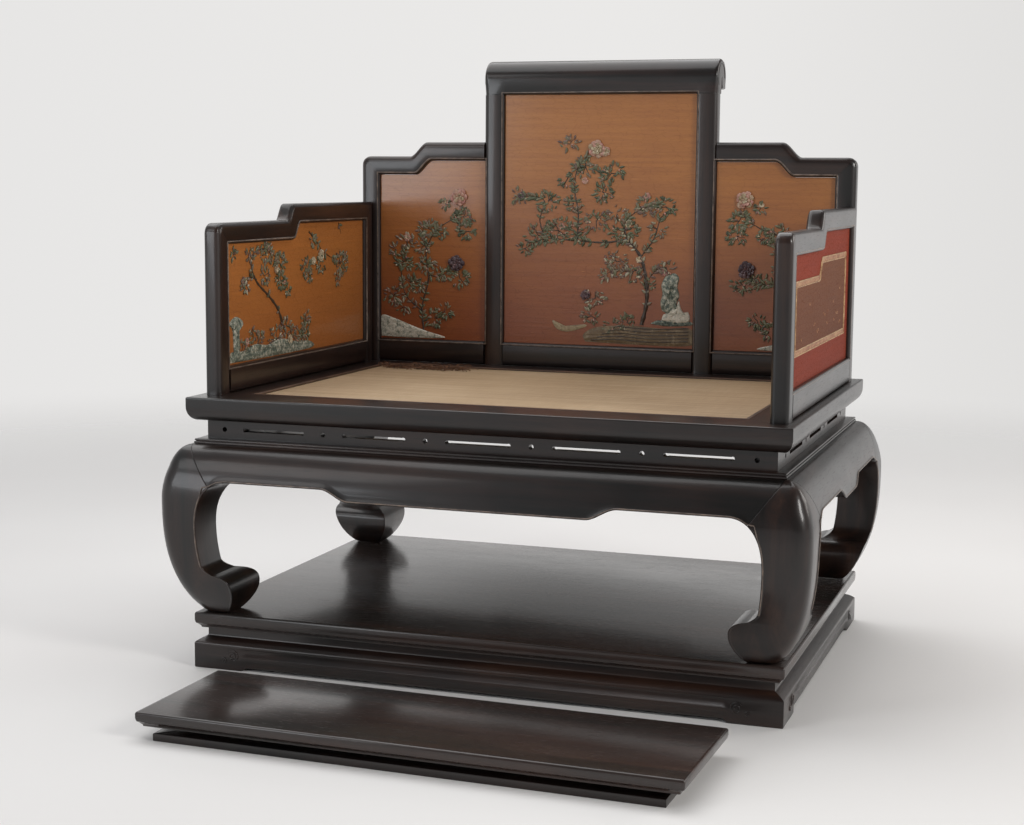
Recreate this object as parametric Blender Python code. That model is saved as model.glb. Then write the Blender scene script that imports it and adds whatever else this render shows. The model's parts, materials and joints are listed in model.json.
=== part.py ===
"""A stepped-back throne on its low platform, with the footrest that stands before it.

Lengths are in metres, Z is up and the throne faces -Y. The pieces are laid out about the
centre of the platform's underside. An empty then carries them all, so that the origin is on
the floor, midway between the footrest's front edge and the rearmost wood.
"""
import math

import bmesh
import bpy
from mathutils import Vector

# Clearance between pieces that touch.
GAP = 0.0003

# Platform: one broad board with a moulded edge, on a recessed neck and a mitred base frame.
PLATFORM_SHORT_OF_SEAT = 0.011
PLATFORM_BEYOND_SEAT = 0.010
PLATFORM_BOARD = 0.033
PLATFORM_BASE = 0.066
PLATFORM_SHOULDER = 0.053
PLATFORM_NECK = 0.016
PLATFORM_NECK_INSET = 0.021
PLATFORM_MEMBER = 0.090
PLATFORM_FOOT_RUN = 0.015
PLATFORM_RAIL_LIFT = 0.006
PLATFORM_RAIL_SINK = 0.004
EDGE_ROUND = 0.003
EDGE_CHAMFER = 0.010
CHAMFER_RISE = 0.012

# Footrest: a smaller board on a thin strip frame, standing clear of the platform's front.
FOOTREST_WIDTH = 1.005
FOOTREST_DEPTH = 0.297
FOOTREST_BOARD = 0.028
FOOTREST_STRIP = 0.014
FOOTREST_NECK = 0.010
FOOTREST_END_OVERHANG = 0.032
FOOTREST_FRONT_OVERHANG = 0.008
FOOTREST_NECK_INSET = 0.038
FOOTREST_MEMBER = 0.070
FOOTREST_AHEAD = 0.177
FOOTREST_ASIDE = 0.038
FOOTREST_TURN = -1.2

# Legs: square-cut cabriole legs that bulge out below the moulding and curl in at the foot.
# Offsets are counted outwards from the stepped moulding's edge, heights from the platform.
LEG_HEIGHT = 0.347
LEG_BULGE = 0.058
LEG_BULGE_DROP = 0.109
LEG_SHOULDER_CURVE = 1.9
LEG_TAPER_CURVE = 2.6
LEG_TAPER_FULLNESS = 0.75
LEG_FOOT_TUCK = 0.012
LEG_INNER = 0.031
LEG_CORNER_ROUND = 0.030
LEG_SOLE_INNER = 0.066
TOE_REACH = 0.097
TOE_TIP_HEIGHT = 0.055
TOE_TOP_HEIGHT = 0.088
TOE_TOP_INNER = 0.041
TOE_UNDER_CURVE = 1.3
TOE_OVER_CURVE = 0.75
ARCH_RISE = 0.0945
ARCH_CORNER_WIDTH = 0.067
ARCH_FULLNESS = 2.3
MITRE_BELOW_ARCH = 0.0125
LEG_POST = 0.066

# Aprons: bulging rails between the legs, lower across the middle, with a beaded edge.
APRON_DEPTH = 0.0675
APRON_TOP_THICK = 0.036
APRON_LOBE_DROP = 0.022
APRON_HIGH_RUN = 0.202
APRON_SLOPE_RUN = 0.061
APRON_BEAD = 0.005
APRON_BEAD_RISE = 0.002

# Seat: a mitred frame round a cane mat, over a pierced waist and a thin stepped moulding.
SEAT_WIDTH = 1.220
SEAT_DEPTH = 0.866
SEAT_SET_FORWARD = 0.016
SEAT_THICK = 0.047
SEAT_MEMBER = 0.108
SEAT_UNDERCUT = 0.019
SEAT_EDGE_FACE = 0.016
WAIST_INSET = 0.032
WAIST_HEIGHT = 0.0375
WAIST_THICK = 0.018
MOULDING_INSET = 0.0115
MOULDING_THICK = 0.0095
MAT_THICK = 0.006
MAT_SINK = 0.004
STRIP_WIDTH = 0.009
STRIP_THICK = 0.003

# Waist piercing: long slots with lobed ends, and a small round hole between each two.
SLOT_LENGTH = 0.140
SLOT_HEIGHT = 0.010
SLOT_LOBE = 0.008
SLOT_MARGIN_FRONT = 0.038
SLOT_MARGIN_SIDE = 0.077
HOLE_DIAMETER = 0.010
FRONT_SLOTS = 5
SIDE_SLOTS = 3

# Arms: stepped frames, lower in front, standing on the side members of the seat.
ARM_OUTER_INSET = 0.018
ARM_FRONT_INSET = 0.049
ARM_THICK = 0.036
ARM_LOW = 0.345
ARM_HIGH = 0.380
ARM_STEP_FROM_FRONT = 0.322
ARM_STEP_RUN = 0.016
ARM_PANEL_STEP_LAG = 0.026
FRAME_MEMBER = 0.043
BOTTOM_RAIL = 0.055
FRAME_CORNER_ROUND = 0.020

# Back: two stepped side bays and a tall centre bay whose top rail rolls over backwards.
BACK_FRONT_FROM_SEAT_REAR = 0.047
BACK_THICK = 0.037
BACK_END_INSET = 0.023
BACK_MEMBER = 0.046
BACK_LOW = 0.488
BACK_HIGH = 0.521
BACK_STEP_FROM_OUTER = 0.122
BACK_STEP_RUN = 0.044
BACK_PANEL_STEP_LAG = 0.014
BACK_SIDE_BAY = 0.3115
STILE_WIDTH = 0.048
CENTRE_OPENING_TOP = 0.629
CREST_TOP = 0.707
CREST_RADIUS = 0.042
CREST_LIP = 0.067
CREST_HOLLOW = 0.010
CREST_LIP_ROUND = 0.004

# Panels: lacquered boards let into the frames, with low inlaid figures on the seat side.
PANEL_THICK = 0.016
INLAY_RISE = 0.003
INLAY_ROOT = 0.002
LEAF_LENGTH = 0.034
LEAF_WIDTH = 0.017
LEAF_SPACING = 0.064
LEAF_ANGLE = 48
STEM_WIDTH = 0.010
BLOSSOM_SIDES = 6
BLOSSOM_HEART_FROM = 0.015
FIRST_LEAF = 0.25
SHRUB_FIRST_LEAF = 0.1

# Worked-out heights and half sizes.
PLATFORM_WIDTH = SEAT_WIDTH - PLATFORM_SHORT_OF_SEAT
PLATFORM_DEPTH = SEAT_DEPTH + PLATFORM_BEYOND_SEAT
LEG_BULGE_HEIGHT = LEG_HEIGHT - LEG_BULGE_DROP
ARCH_TOP_HEIGHT = LEG_HEIGHT - APRON_DEPTH
ARCH_SPRING_HEIGHT = ARCH_TOP_HEIGHT - ARCH_RISE
SHOULDER_DROP = APRON_DEPTH + MITRE_BELOW_ARCH
PLATFORM_TOP = PLATFORM_BASE + PLATFORM_NECK + PLATFORM_BOARD
LEG_TOP = PLATFORM_TOP + LEG_HEIGHT
MOULDING_TOP = LEG_TOP + MOULDING_THICK
SEAT_BOTTOM = MOULDING_TOP + WAIST_HEIGHT
SEAT_TOP = SEAT_BOTTOM + SEAT_THICK
SEAT_HALF_X = SEAT_WIDTH / 2
SEAT_HALF_Y = SEAT_DEPTH / 2
MOULDING_HALF_X = SEAT_HALF_X - MOULDING_INSET
MOULDING_HALF_Y = SEAT_HALF_Y - MOULDING_INSET
SEAT_FRONT = -SEAT_SET_FORWARD - SEAT_HALF_Y
SEAT_REAR = -SEAT_SET_FORWARD + SEAT_HALF_Y
BACK_FRONT = SEAT_REAR - BACK_FRONT_FROM_SEAT_REAR
ARM_OUTER = SEAT_HALF_X - ARM_OUTER_INSET
ARM_FRONT = SEAT_FRONT + ARM_FRONT_INSET
BACK_HALF_WIDTH = SEAT_HALF_X - BACK_END_INSET
STILE_OUTER = BACK_HALF_WIDTH - BACK_SIDE_BAY
FOOTREST_FRONT = -PLATFORM_DEPTH / 2 - FOOTREST_AHEAD - FOOTREST_DEPTH

SIDES = ("front", "right", "back", "left")


def material(name, colour, roughness, metallic=0.0):
    """A Principled material in one colour."""
    made = bpy.data.materials.new(name)
    made.use_nodes = True
    shader = made.node_tree.nodes["Principled BSDF"]
    shader.inputs["Base Color"].default_value = (*colour, 1.0)
    shader.inputs["Roughness"].default_value = roughness
    shader.inputs["Metallic"].default_value = metallic
    return made


def finish(name, bm, surface, parent, smooth_angle=None):
    """Turn a bmesh into a named object with outward faces, held by an empty."""
    bmesh.ops.recalc_face_normals(bm, faces=bm.faces)
    mesh = bpy.data.meshes.new(name)
    bm.to_mesh(mesh)
    bm.free()
    if smooth_angle is not None:
        mesh.shade_smooth()
        mesh.set_sharp_from_angle(angle=smooth_angle)
    made = bpy.data.objects.new(name, mesh)
    made.data.materials.append(surface)
    made.parent = parent
    bpy.context.scene.collection.objects.link(made)
    return made


def loft(sections):
    """Skin equal rings of points into one closed bmesh with flat ends."""
    bm = bmesh.new()
    rings = [[bm.verts.new(point) for point in ring] for ring in sections]
    count = len(rings[0])
    for lower, upper in zip(rings, rings[1:]):
        for i in range(count):
            j = (i + 1) % count
            bm.faces.new((lower[i], lower[j], upper[j], upper[i]))
    bm.faces.new(rings[0])
    bm.faces.new(rings[-1])
    return bm


def turned(side, along, out, z):
    """A point on one side of the seat or platform: along the side, out from the centre."""
    if side == "front":
        return Vector((along, -out, z))
    if side == "back":
        return Vector((-along, out, z))
    if side == "right":
        return Vector((out, along, z))
    return Vector((-out, -along, z))


def half_sizes(side, half_x, half_y):
    """Half length and half breadth of a rectangle, as one side sees them."""
    if side in ("front", "back"):
        return half_x, half_y
    return half_y, half_x


def mitred_member(side, half_x, half_y, profile):
    """One side of a mitred frame. The profile holds (inset from the outer edge, height)."""
    length, breadth = half_sizes(side, half_x, half_y)
    sections = []
    for end in (-1, 1):
        sections.append([
            turned(side, end * (length - inset - GAP), breadth - inset, z)
            for inset, z in profile
        ])
    return loft(sections)


def trim(bm, point, normal):
    """Cut away what lies beyond a plane and close the cut."""
    geometry = bm.verts[:] + bm.edges[:] + bm.faces[:]
    cut = bmesh.ops.bisect_plane(
        bm, geom=geometry, dist=1e-7, plane_co=point, plane_no=normal, clear_outer=True)
    edges = [item for item in cut["geom_cut"] if isinstance(item, bmesh.types.BMEdge)]
    bmesh.ops.edgeloop_fill(bm, edges=edges)


def move(bm, offset):
    """Shift a whole bmesh."""
    bmesh.ops.translate(bm, verts=bm.verts, vec=offset)


def arc(centre, radius, start, end, steps):
    """Points on a circle's arc, angles in degrees."""
    points = []
    for i in range(steps + 1):
        angle = math.radians(start + (end - start) * i / steps)
        points.append((centre[0] + radius * math.cos(angle), centre[1] + radius * math.sin(angle)))
    return points


def ogee(start, end, steps=6):
    """The S-shaped step between two levels of a top rail."""
    points = []
    for i in range(steps + 1):
        t = i / steps
        rise = t * t * (3 - 2 * t)
        points.append((start[0] + (end[0] - start[0]) * t, start[1] + (end[1] - start[1]) * rise))
    return points


def boolean(target, cutter, operation):
    """Combine a hidden guide with an object by a live modifier."""
    cutter.hide_render = True
    cutter.display_type = "WIRE"
    modifier = target.modifiers.new(operation.lower(), "BOOLEAN")
    modifier.operation = operation
    modifier.object = cutter
    modifier.use_self = operation == "UNION"


# Platform and footrest

def moulded_board(half_x, half_y, bottom, top):
    """A board with a small round at its top edge and a chamfer under it."""
    levels = (
        (EDGE_CHAMFER, bottom),
        (0.0, bottom + CHAMFER_RISE),
        (0.0, top - EDGE_ROUND),
        (EDGE_ROUND, top),
    )
    rings = []
    for inset, z in levels:
        x = half_x - inset
        y = half_y - inset
        corners = ((-x, -y), (x, -y), (x, y), (-x, y))
        rings.append([Vector((*corner, z)) for corner in corners])
    return loft(rings)


def platform_base_member(side):
    """A base rail with a foot at each end, which stands lower and prouder than the rail."""
    length, breadth = half_sizes(side, PLATFORM_WIDTH / 2, PLATFORM_DEPTH / 2)
    neck_top = PLATFORM_BASE + PLATFORM_NECK
    inner = PLATFORM_MEMBER

    def profile(lift, sink):
        return [
            (EDGE_ROUND + sink, lift),
            (sink, lift + EDGE_ROUND),
            (sink, PLATFORM_SHOULDER - EDGE_ROUND * 2),
            (0.0, PLATFORM_SHOULDER - EDGE_ROUND),
            (EDGE_ROUND, PLATFORM_SHOULDER),
            (PLATFORM_NECK_INSET, PLATFORM_BASE),
            (PLATFORM_NECK_INSET, neck_top - GAP),
            (inner, neck_top - GAP),
            (inner, lift),
        ]

    foot = profile(0.0, 0.0)
    rail = profile(PLATFORM_RAIL_LIFT, PLATFORM_RAIL_SINK)
    foot_end = length - PLATFORM_MEMBER - PLATFORM_FOOT_RUN
    sections = []
    for end, stations in ((-1, (None, foot_end, foot_end)), (1, (foot_end, foot_end, None))):
        for order, station in enumerate(stations):
            is_rail = (end == -1 and order == 2) or (end == 1 and order == 0)
            shape = rail if is_rail else foot
            ease = -PLATFORM_RAIL_LIFT * 2 if is_rail else 0.0
            ring = []
            for inset, z in shape:
                at = length - inset - GAP if station is None else station + ease
                ring.append(turned(side, end * at, breadth - inset, z))
            sections.append(ring)
    return loft(sections)


def build_platform(wood, origin):
    """The broad board the throne stands on, and the frame under it."""
    for side in SIDES:
        finish("platform_base_" + side, platform_base_member(side), wood, origin)
    board = moulded_board(
        PLATFORM_WIDTH / 2, PLATFORM_DEPTH / 2, PLATFORM_BASE + PLATFORM_NECK, PLATFORM_TOP)
    finish("platform_top", board, wood, origin)


def build_footrest(wood, origin):
    """The low footrest, a little aside and a little turned, as it was set down."""
    holder = bpy.data.objects.new("footrest_place", None)
    bpy.context.scene.collection.objects.link(holder)
    holder.parent = origin
    holder.location = (FOOTREST_ASIDE, FOOTREST_FRONT + FOOTREST_DEPTH / 2, 0)
    holder.rotation_euler = (0, 0, math.radians(FOOTREST_TURN))
    neck_top = FOOTREST_STRIP + FOOTREST_NECK
    half_x = FOOTREST_WIDTH / 2
    half_y = FOOTREST_DEPTH / 2
    profile = [
        (0.0, 0.0),
        (0.0, FOOTREST_STRIP),
        (FOOTREST_NECK_INSET, FOOTREST_STRIP),
        (FOOTREST_NECK_INSET, neck_top - GAP),
        (FOOTREST_MEMBER, neck_top - GAP),
        (FOOTREST_MEMBER, 0.0),
    ]
    for side in SIDES:
        member = mitred_member(
            side, half_x - FOOTREST_END_OVERHANG, half_y - FOOTREST_FRONT_OVERHANG, profile)
        finish("footrest_base_" + side, member, wood, holder)
    board = moulded_board(half_x, half_y, neck_top, neck_top + FOOTREST_BOARD)
    finish("footrest_top", board, wood, holder)


# Legs and aprons

def leg_outer(height):
    """How far the outer face stands out from the moulding's edge, at a height on the leg."""
    if height >= LEG_BULGE_HEIGHT:
        share = (height - LEG_BULGE_HEIGHT) / (LEG_HEIGHT - LEG_BULGE_HEIGHT)
        return LEG_BULGE * math.sqrt(max(0.0, 1 - share ** LEG_SHOULDER_CURVE))
    share = (LEG_BULGE_HEIGHT - height) / LEG_BULGE_HEIGHT
    run = 1 - (1 - min(1.0, share) ** LEG_TAPER_CURVE) ** LEG_TAPER_FULLNESS
    return LEG_BULGE - (LEG_BULGE + LEG_FOOT_TUCK) * run


def arch_inner(height):
    """How far in from the moulding's edge the arch's rounded corner is, at a height."""
    share = (height - ARCH_SPRING_HEIGHT) / (ARCH_TOP_HEIGHT - ARCH_SPRING_HEIGHT)
    run = (1 - min(1.0, share) ** ARCH_FULLNESS) ** (1 / ARCH_FULLNESS)
    return LEG_INNER + ARCH_CORNER_WIDTH * (1 - run)


def arch_height(inner):
    """The arch's height where it is so far in from the moulding's edge."""
    if inner >= LEG_INNER + ARCH_CORNER_WIDTH:
        return ARCH_TOP_HEIGHT
    share = max(0.0, 1 - (inner - LEG_INNER) / ARCH_CORNER_WIDTH)
    rise = (1 - share ** ARCH_FULLNESS) ** (1 / ARCH_FULLNESS)
    return ARCH_SPRING_HEIGHT + (ARCH_TOP_HEIGHT - ARCH_SPRING_HEIGHT) * rise


def mitre_foot():
    """Where the mitre between leg and apron meets the arch: inset and height."""
    height = LEG_HEIGHT - SHOULDER_DROP
    return arch_inner(height), height


def leg_levels():
    """Heights, with the inner and outer offset of the square section at each."""
    levels = []
    steps = 4
    for i in range(steps):
        t = i / steps
        curl = math.sin(t * math.pi / 2) ** TOE_UNDER_CURVE
        levels.append((t * TOE_TIP_HEIGHT, LEG_SOLE_INNER + (TOE_REACH - LEG_SOLE_INNER) * curl))
    for i in range(steps + 1):
        angle = math.pi / 2 * i / steps
        rise = math.sin(angle) ** TOE_OVER_CURVE
        run = max(0.0, math.cos(angle)) ** TOE_OVER_CURVE
        height = TOE_TIP_HEIGHT + (TOE_TOP_HEIGHT - TOE_TIP_HEIGHT) * rise
        levels.append((height, TOE_TOP_INNER + (TOE_REACH - TOE_TOP_INNER) * run))
    for i in range(1, steps):
        t = i / (steps - 1)
        height = TOE_TOP_HEIGHT + (ARCH_SPRING_HEIGHT - TOE_TOP_HEIGHT) * t
        levels.append((height, LEG_INNER + (TOE_TOP_INNER - LEG_INNER) * (1 - t) ** 2))
    foot_inset, foot_height = mitre_foot()
    for i in range(1, steps + 1):
        t = math.sin(math.pi / 2 * i / steps)
        height = ARCH_SPRING_HEIGHT + (foot_height - ARCH_SPRING_HEIGHT) * t
        levels.append((height, arch_inner(height)))
    for share in (0.3, 0.6, 0.82, 0.94, 0.99):
        levels.append((foot_height + SHOULDER_DROP * share, foot_inset * (1 - share)))
    return [(height, inner, leg_outer(height)) for height, inner in levels]


def leg_section(level):
    """The square section at one level, its outer corner rounded, offsets from the corner."""
    height, inner, outer = level
    z = PLATFORM_TOP + GAP + height * (1 - GAP / LEG_HEIGHT)
    size = inner + outer
    radius = min(LEG_CORNER_ROUND, size / 2)
    points = [(-inner, -inner), (outer, -inner)]
    points += arc((outer - radius, outer - radius), radius, 0, 90, 3)
    points.append((-inner, outer))
    return [(u, v, z) for u, v in points]


def leg_mesh(sign_x, sign_y):
    """A leg at one corner of the moulding, with the post that carries on up behind it."""
    sections = []
    for level in leg_levels():
        ring = []
        for u, v, z in leg_section(level):
            ring.append(Vector((
                sign_x * (MOULDING_HALF_X + u),
                sign_y * (MOULDING_HALF_Y + v) - SEAT_SET_FORWARD,
                z)))
        sections.append(ring)
    return loft(sections)


def post_mesh(sign_x, sign_y):
    """The square post from the leg's shoulder up to the seat frame, inside the waist."""
    outer = WAIST_INSET - MOULDING_INSET + WAIST_THICK + GAP
    low = PLATFORM_TOP + ARCH_TOP_HEIGHT
    sections = []
    for z in (low, SEAT_BOTTOM - GAP):
        ring = []
        for u, v in ((0, 0), (LEG_POST, 0), (LEG_POST, LEG_POST), (0, LEG_POST)):
            ring.append(Vector((
                sign_x * (MOULDING_HALF_X - outer - u),
                sign_y * (MOULDING_HALF_Y - outer - v) - SEAT_SET_FORWARD,
                z)))
        sections.append(ring)
    return loft(sections)


def build_legs(wood, origin):
    """The four legs."""
    corners = (
        ("front_left", -1, -1), ("front_right", 1, -1), ("back_left", -1, 1), ("back_right", 1, 1))
    for name, sign_x, sign_y in corners:
        leg = finish("leg_" + name, leg_mesh(sign_x, sign_y), wood, origin, math.radians(35))
        post = finish("guide_post_" + name, post_mesh(sign_x, sign_y), wood, origin)
        boolean(leg, post, "UNION")


def apron_edge(distance, length):
    """Height of an apron's lower edge at a distance from its middle."""
    inner = length - distance
    lobe_end = length - LEG_INNER - ARCH_CORNER_WIDTH - APRON_HIGH_RUN
    slope_start = lobe_end - APRON_SLOPE_RUN
    if distance <= slope_start:
        return ARCH_TOP_HEIGHT - APRON_LOBE_DROP
    if distance < lobe_end:
        t = (distance - slope_start) / APRON_SLOPE_RUN
        return ARCH_TOP_HEIGHT - APRON_LOBE_DROP * (1 - t * t * (3 - 2 * t))
    foot_inset, foot_height = mitre_foot()
    return foot_height if inner <= foot_inset else arch_height(inner)


def apron_stations(length):
    """Places along an apron where its section is set, from the middle outwards."""
    lobe_end = length - LEG_INNER - ARCH_CORNER_WIDTH - APRON_HIGH_RUN
    slope_start = lobe_end - APRON_SLOPE_RUN
    places = [slope_start + APRON_SLOPE_RUN * i / 4 for i in range(5)]
    foot_inset = mitre_foot()[0]
    corner_run = LEG_INNER + ARCH_CORNER_WIDTH - foot_inset
    places += [length - foot_inset - corner_run * (1 - i / 3) for i in range(4)]
    places.append(length)
    return [-place for place in reversed(places)] + places


def apron_mesh(side):
    """A rail whose face carries on the legs' bulge, mitred to the legs' shoulders."""
    length, breadth = half_sizes(side, MOULDING_HALF_X, MOULDING_HALF_Y)
    top = LEG_TOP - GAP
    sections = []
    for place in apron_stations(length):
        edge = apron_edge(abs(place), length)
        ring = [(-APRON_TOP_THICK, LEG_HEIGHT), (0.0, LEG_HEIGHT)]
        bead_top = edge + APRON_BEAD
        for share in (0.05, 0.17, 0.36, 0.62, 1.0):
            height = LEG_HEIGHT + (bead_top - LEG_HEIGHT) * share
            ring.append((leg_outer(height), height))
        ring.append((leg_outer(bead_top) + APRON_BEAD_RISE, bead_top - APRON_BEAD * 0.3))
        ring.append((leg_outer(edge) + APRON_BEAD_RISE, edge))
        ring.append((0.0, edge))
        sections.append([
            turned(side, place, breadth + out, min(top, PLATFORM_TOP + height))
            for out, height in ring
        ])
    bm = loft(sections)
    foot_inset, foot_height = mitre_foot()
    lean = Vector((SHOULDER_DROP, -foot_inset)).normalized()
    for end in (-1, 1):
        corner = turned(side, end * (length - GAP * 1.5), breadth, LEG_TOP)
        along = turned(side, end, 0, 0)
        out = turned(side, 0, 1, 0)
        trim(bm, corner, along * lean.x + Vector((0, 0, lean.y)))
        trim(bm, corner, (along - out).normalized())
    return bm


def build_aprons(wood, origin):
    """The four aprons."""
    for side in SIDES:
        bm = apron_mesh(side)
        move(bm, (0, -SEAT_SET_FORWARD, 0))
        finish("apron_" + side, bm, wood, origin, math.radians(35))


# Seat, waist and moulding

def slot_outline(centre):
    """A long slot with a round lobe swelling at each end, as (along, height) offsets."""
    half = SLOT_LENGTH / 2 - SLOT_LOBE
    rise = SLOT_HEIGHT / 2
    spread = math.degrees(math.asin(min(0.95, rise / SLOT_LOBE)))
    points = arc((half, 0), SLOT_LOBE, -180 + spread, 180 - spread, 4)
    points += arc((-half, 0), SLOT_LOBE, spread, 360 - spread, 4)
    return [(centre + s, t) for s, t in points]


def prism(side, outline, near, far):
    """Extrude an (along, height) outline across a side, between two distances out."""
    sections = []
    for out in (near, far):
        sections.append([turned(side, s, out, z) for s, z in outline])
    return loft(sections)


def waist_cutter(side, count, margin):
    """All the slots and holes of one side of the waist, as one set of prisms."""
    length, breadth = half_sizes(side, SEAT_HALF_X - WAIST_INSET, SEAT_HALF_Y - WAIST_INSET)
    pitch = 2 * (length - margin) / count
    middle = MOULDING_TOP + WAIST_HEIGHT / 2
    outlines = []
    for i in range(count):
        outlines.append(slot_outline((i - (count - 1) / 2) * pitch))
    for i in range(count + 1):
        outlines.append(arc(((i - count / 2) * pitch, 0), HOLE_DIAMETER / 2, 0, 300, 5))
    whole = bmesh.new()
    for outline in outlines:
        points = [(s, middle + t) for s, t in outline]
        piece = prism(side, points, breadth - WAIST_THICK * 2, breadth + WAIST_THICK)
        mesh = bpy.data.meshes.new("slot")
        bmesh.ops.recalc_face_normals(piece, faces=piece.faces)
        piece.to_mesh(mesh)
        piece.free()
        whole.from_mesh(mesh)
        bpy.data.meshes.remove(mesh)
    return whole


def build_seat(wood, cane, strip_wood, origin):
    """The seat frame, its mat with the strips that pin it, the waist and the moulding."""
    seat_profile = [(SEAT_UNDERCUT, SEAT_BOTTOM)]
    round_top = SEAT_TOP - EDGE_ROUND - SEAT_EDGE_FACE
    for i in range(1, 5):
        angle = math.pi / 2 * i / 4
        inset = SEAT_UNDERCUT * (1 - math.sin(angle))
        seat_profile.append((inset, round_top - (round_top - SEAT_BOTTOM) * math.cos(angle)))
    seat_profile += [
        (0.0, SEAT_TOP - EDGE_ROUND),
        (EDGE_ROUND, SEAT_TOP),
        (SEAT_MEMBER - STRIP_WIDTH, SEAT_TOP),
        (SEAT_MEMBER - STRIP_WIDTH, SEAT_TOP - STRIP_THICK),
        (SEAT_MEMBER, SEAT_TOP - STRIP_THICK),
        (SEAT_MEMBER, SEAT_BOTTOM),
    ]
    strip_inset = SEAT_MEMBER - STRIP_WIDTH + GAP
    strip_profile = [
        (strip_inset, SEAT_TOP - STRIP_THICK + GAP),
        (strip_inset, SEAT_TOP),
        (strip_inset + STRIP_WIDTH, SEAT_TOP),
        (strip_inset + STRIP_WIDTH, SEAT_TOP - STRIP_THICK + GAP),
    ]
    waist_top = SEAT_BOTTOM - GAP
    waist_low = MOULDING_TOP + GAP
    waist_profile = [
        (WAIST_INSET, waist_low),
        (WAIST_INSET, waist_top),
        (WAIST_INSET + WAIST_THICK, waist_top),
        (WAIST_INSET + WAIST_THICK, waist_low),
    ]
    moulding_inner = WAIST_INSET + WAIST_THICK
    moulding_profile = [
        (MOULDING_INSET + EDGE_ROUND / 2, LEG_TOP),
        (MOULDING_INSET, LEG_TOP + EDGE_ROUND / 2),
        (MOULDING_INSET, MOULDING_TOP - EDGE_ROUND),
        (MOULDING_INSET + EDGE_ROUND, MOULDING_TOP),
        (moulding_inner, MOULDING_TOP),
        (moulding_inner, LEG_TOP),
    ]
    forward = Vector((0, -SEAT_SET_FORWARD, 0))
    for side in SIDES:
        for name, profile, surface in (
                ("seat_frame_", seat_profile, wood),
                ("mat_strip_", strip_profile, strip_wood),
                ("waist_moulding_", moulding_profile, wood)):
            bm = mitred_member(side, SEAT_HALF_X, SEAT_HALF_Y, profile)
            move(bm, forward)
            finish(name + side, bm, surface, origin)
        bm = mitred_member(side, SEAT_HALF_X, SEAT_HALF_Y, waist_profile)
        move(bm, forward)
        waist = finish("waist_" + side, bm, wood, origin)
        if side in ("front", "back"):
            cutter_mesh = waist_cutter(side, FRONT_SLOTS, SLOT_MARGIN_FRONT)
        else:
            cutter_mesh = waist_cutter(side, SIDE_SLOTS, SLOT_MARGIN_SIDE)
        move(cutter_mesh, forward)
        cutter = finish("guide_slots_" + side, cutter_mesh, wood, origin)
        boolean(waist, cutter, "DIFFERENCE")
    mat_x = SEAT_HALF_X - SEAT_MEMBER - GAP
    mat_y = SEAT_HALF_Y - SEAT_MEMBER - GAP
    mat_top = SEAT_TOP - MAT_SINK
    rings = []
    for z in (mat_top - MAT_THICK, mat_top):
        rings.append([
            Vector((sx * mat_x, sy * mat_y, z)) + forward
            for sx, sy in ((-1, -1), (1, -1), (1, 1), (-1, 1))
        ])
    finish("cane_mat", loft(rings), cane, origin)


# Frames of the arms and the back

def stepped_bay(low, high, step_start, step_run, lag, end, near_width, far_width, far_mitred):
    """Outlines of one stepped frame, as (along, height above the seat) from its low end at 0.

    Returns the near post, the top rail, the far post, the bottom rail and the panel. The far
    post is None where the frame ends against a stile.
    """
    rail = FRAME_MEMBER
    radius = FRAME_CORNER_ROUND
    step_end = step_start + step_run
    near_corner = arc((radius, low - radius), radius, 180, 135, 2)
    rail_corner = arc((radius, low - radius), radius, 135, 90, 2)
    near_post = [(0.0, GAP)] + near_corner + [(near_width, low - rail), (near_width, GAP)]
    inner_step = ogee((step_start + lag, low - rail), (step_end + lag, high - rail))
    outer_step = ogee((step_start, low), (step_end, high))
    mitre_gap = GAP * 1.5
    top_rail = [(s + mitre_gap, t) for s, t in [(near_width, low - rail)] + rail_corner]
    top_rail += outer_step
    far_inner = end - far_width
    if far_mitred:
        top_rail += [(end - mitre_gap, high), (far_inner - mitre_gap, high - rail)]
        far_post = [(far_inner, GAP), (far_inner, high - rail), (end, high), (end, GAP)]
    else:
        top_rail += [(end, high), (end, high - rail)]
        far_post = None
        far_inner = end
    top_rail += list(reversed(inner_step))
    bottom_rail = [
        (near_width + GAP, GAP), (near_width + GAP, BOTTOM_RAIL),
        (far_inner - GAP, BOTTOM_RAIL), (far_inner - GAP, GAP),
    ]
    left = near_width + GAP
    right = far_inner - GAP
    low_top = low - rail - GAP
    high_top = high - rail - GAP
    floor = BOTTOM_RAIL + GAP
    panel = [(left, floor), (left, low_top)]
    panel += ogee((step_start + lag + GAP, low_top), (step_end + lag + GAP, high_top))
    panel += [(right, high_top), (right, floor)]
    return near_post, top_rail, far_post, bottom_rail, panel


def plate(outline, place, near, far):
    """Extrude an outline between two depths. The place turns (s, t, depth) into a point."""
    return loft([[place(s, t, depth) for s, t in outline] for depth in (near, far)])


def prism_bodies(figures, place):
    """Low prisms for the inlay, each from under the panel's face to its own height."""
    whole = bmesh.new()
    for order, (outline, rise) in enumerate(figures):
        height = rise + 0.00007 * (order % 11)
        piece = plate(outline, place, -INLAY_ROOT - 0.00003 * (order % 13), height)
        bmesh.ops.recalc_face_normals(piece, faces=piece.faces)
        mesh = bpy.data.meshes.new("figure")
        piece.to_mesh(mesh)
        piece.free()
        whole.from_mesh(mesh)
        bpy.data.meshes.remove(mesh)
    return whole


# Inlaid pictures

def smooth_path(points, steps):
    """A curve through a few chosen points."""
    ends = [points[0]] + list(points) + [points[-1]]
    path = []
    for i in range(1, len(ends) - 2):
        a, b, c, d = (Vector(p) for p in ends[i - 1:i + 3])
        for k in range(steps):
            t = k / steps
            path.append(0.5 * (2 * b + (c - a) * t + (2 * a - 5 * b + 4 * c - d) * t * t
                               + (3 * b - a - 3 * c + d) * t ** 3))
    path.append(Vector(points[-1]))
    return path


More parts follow.
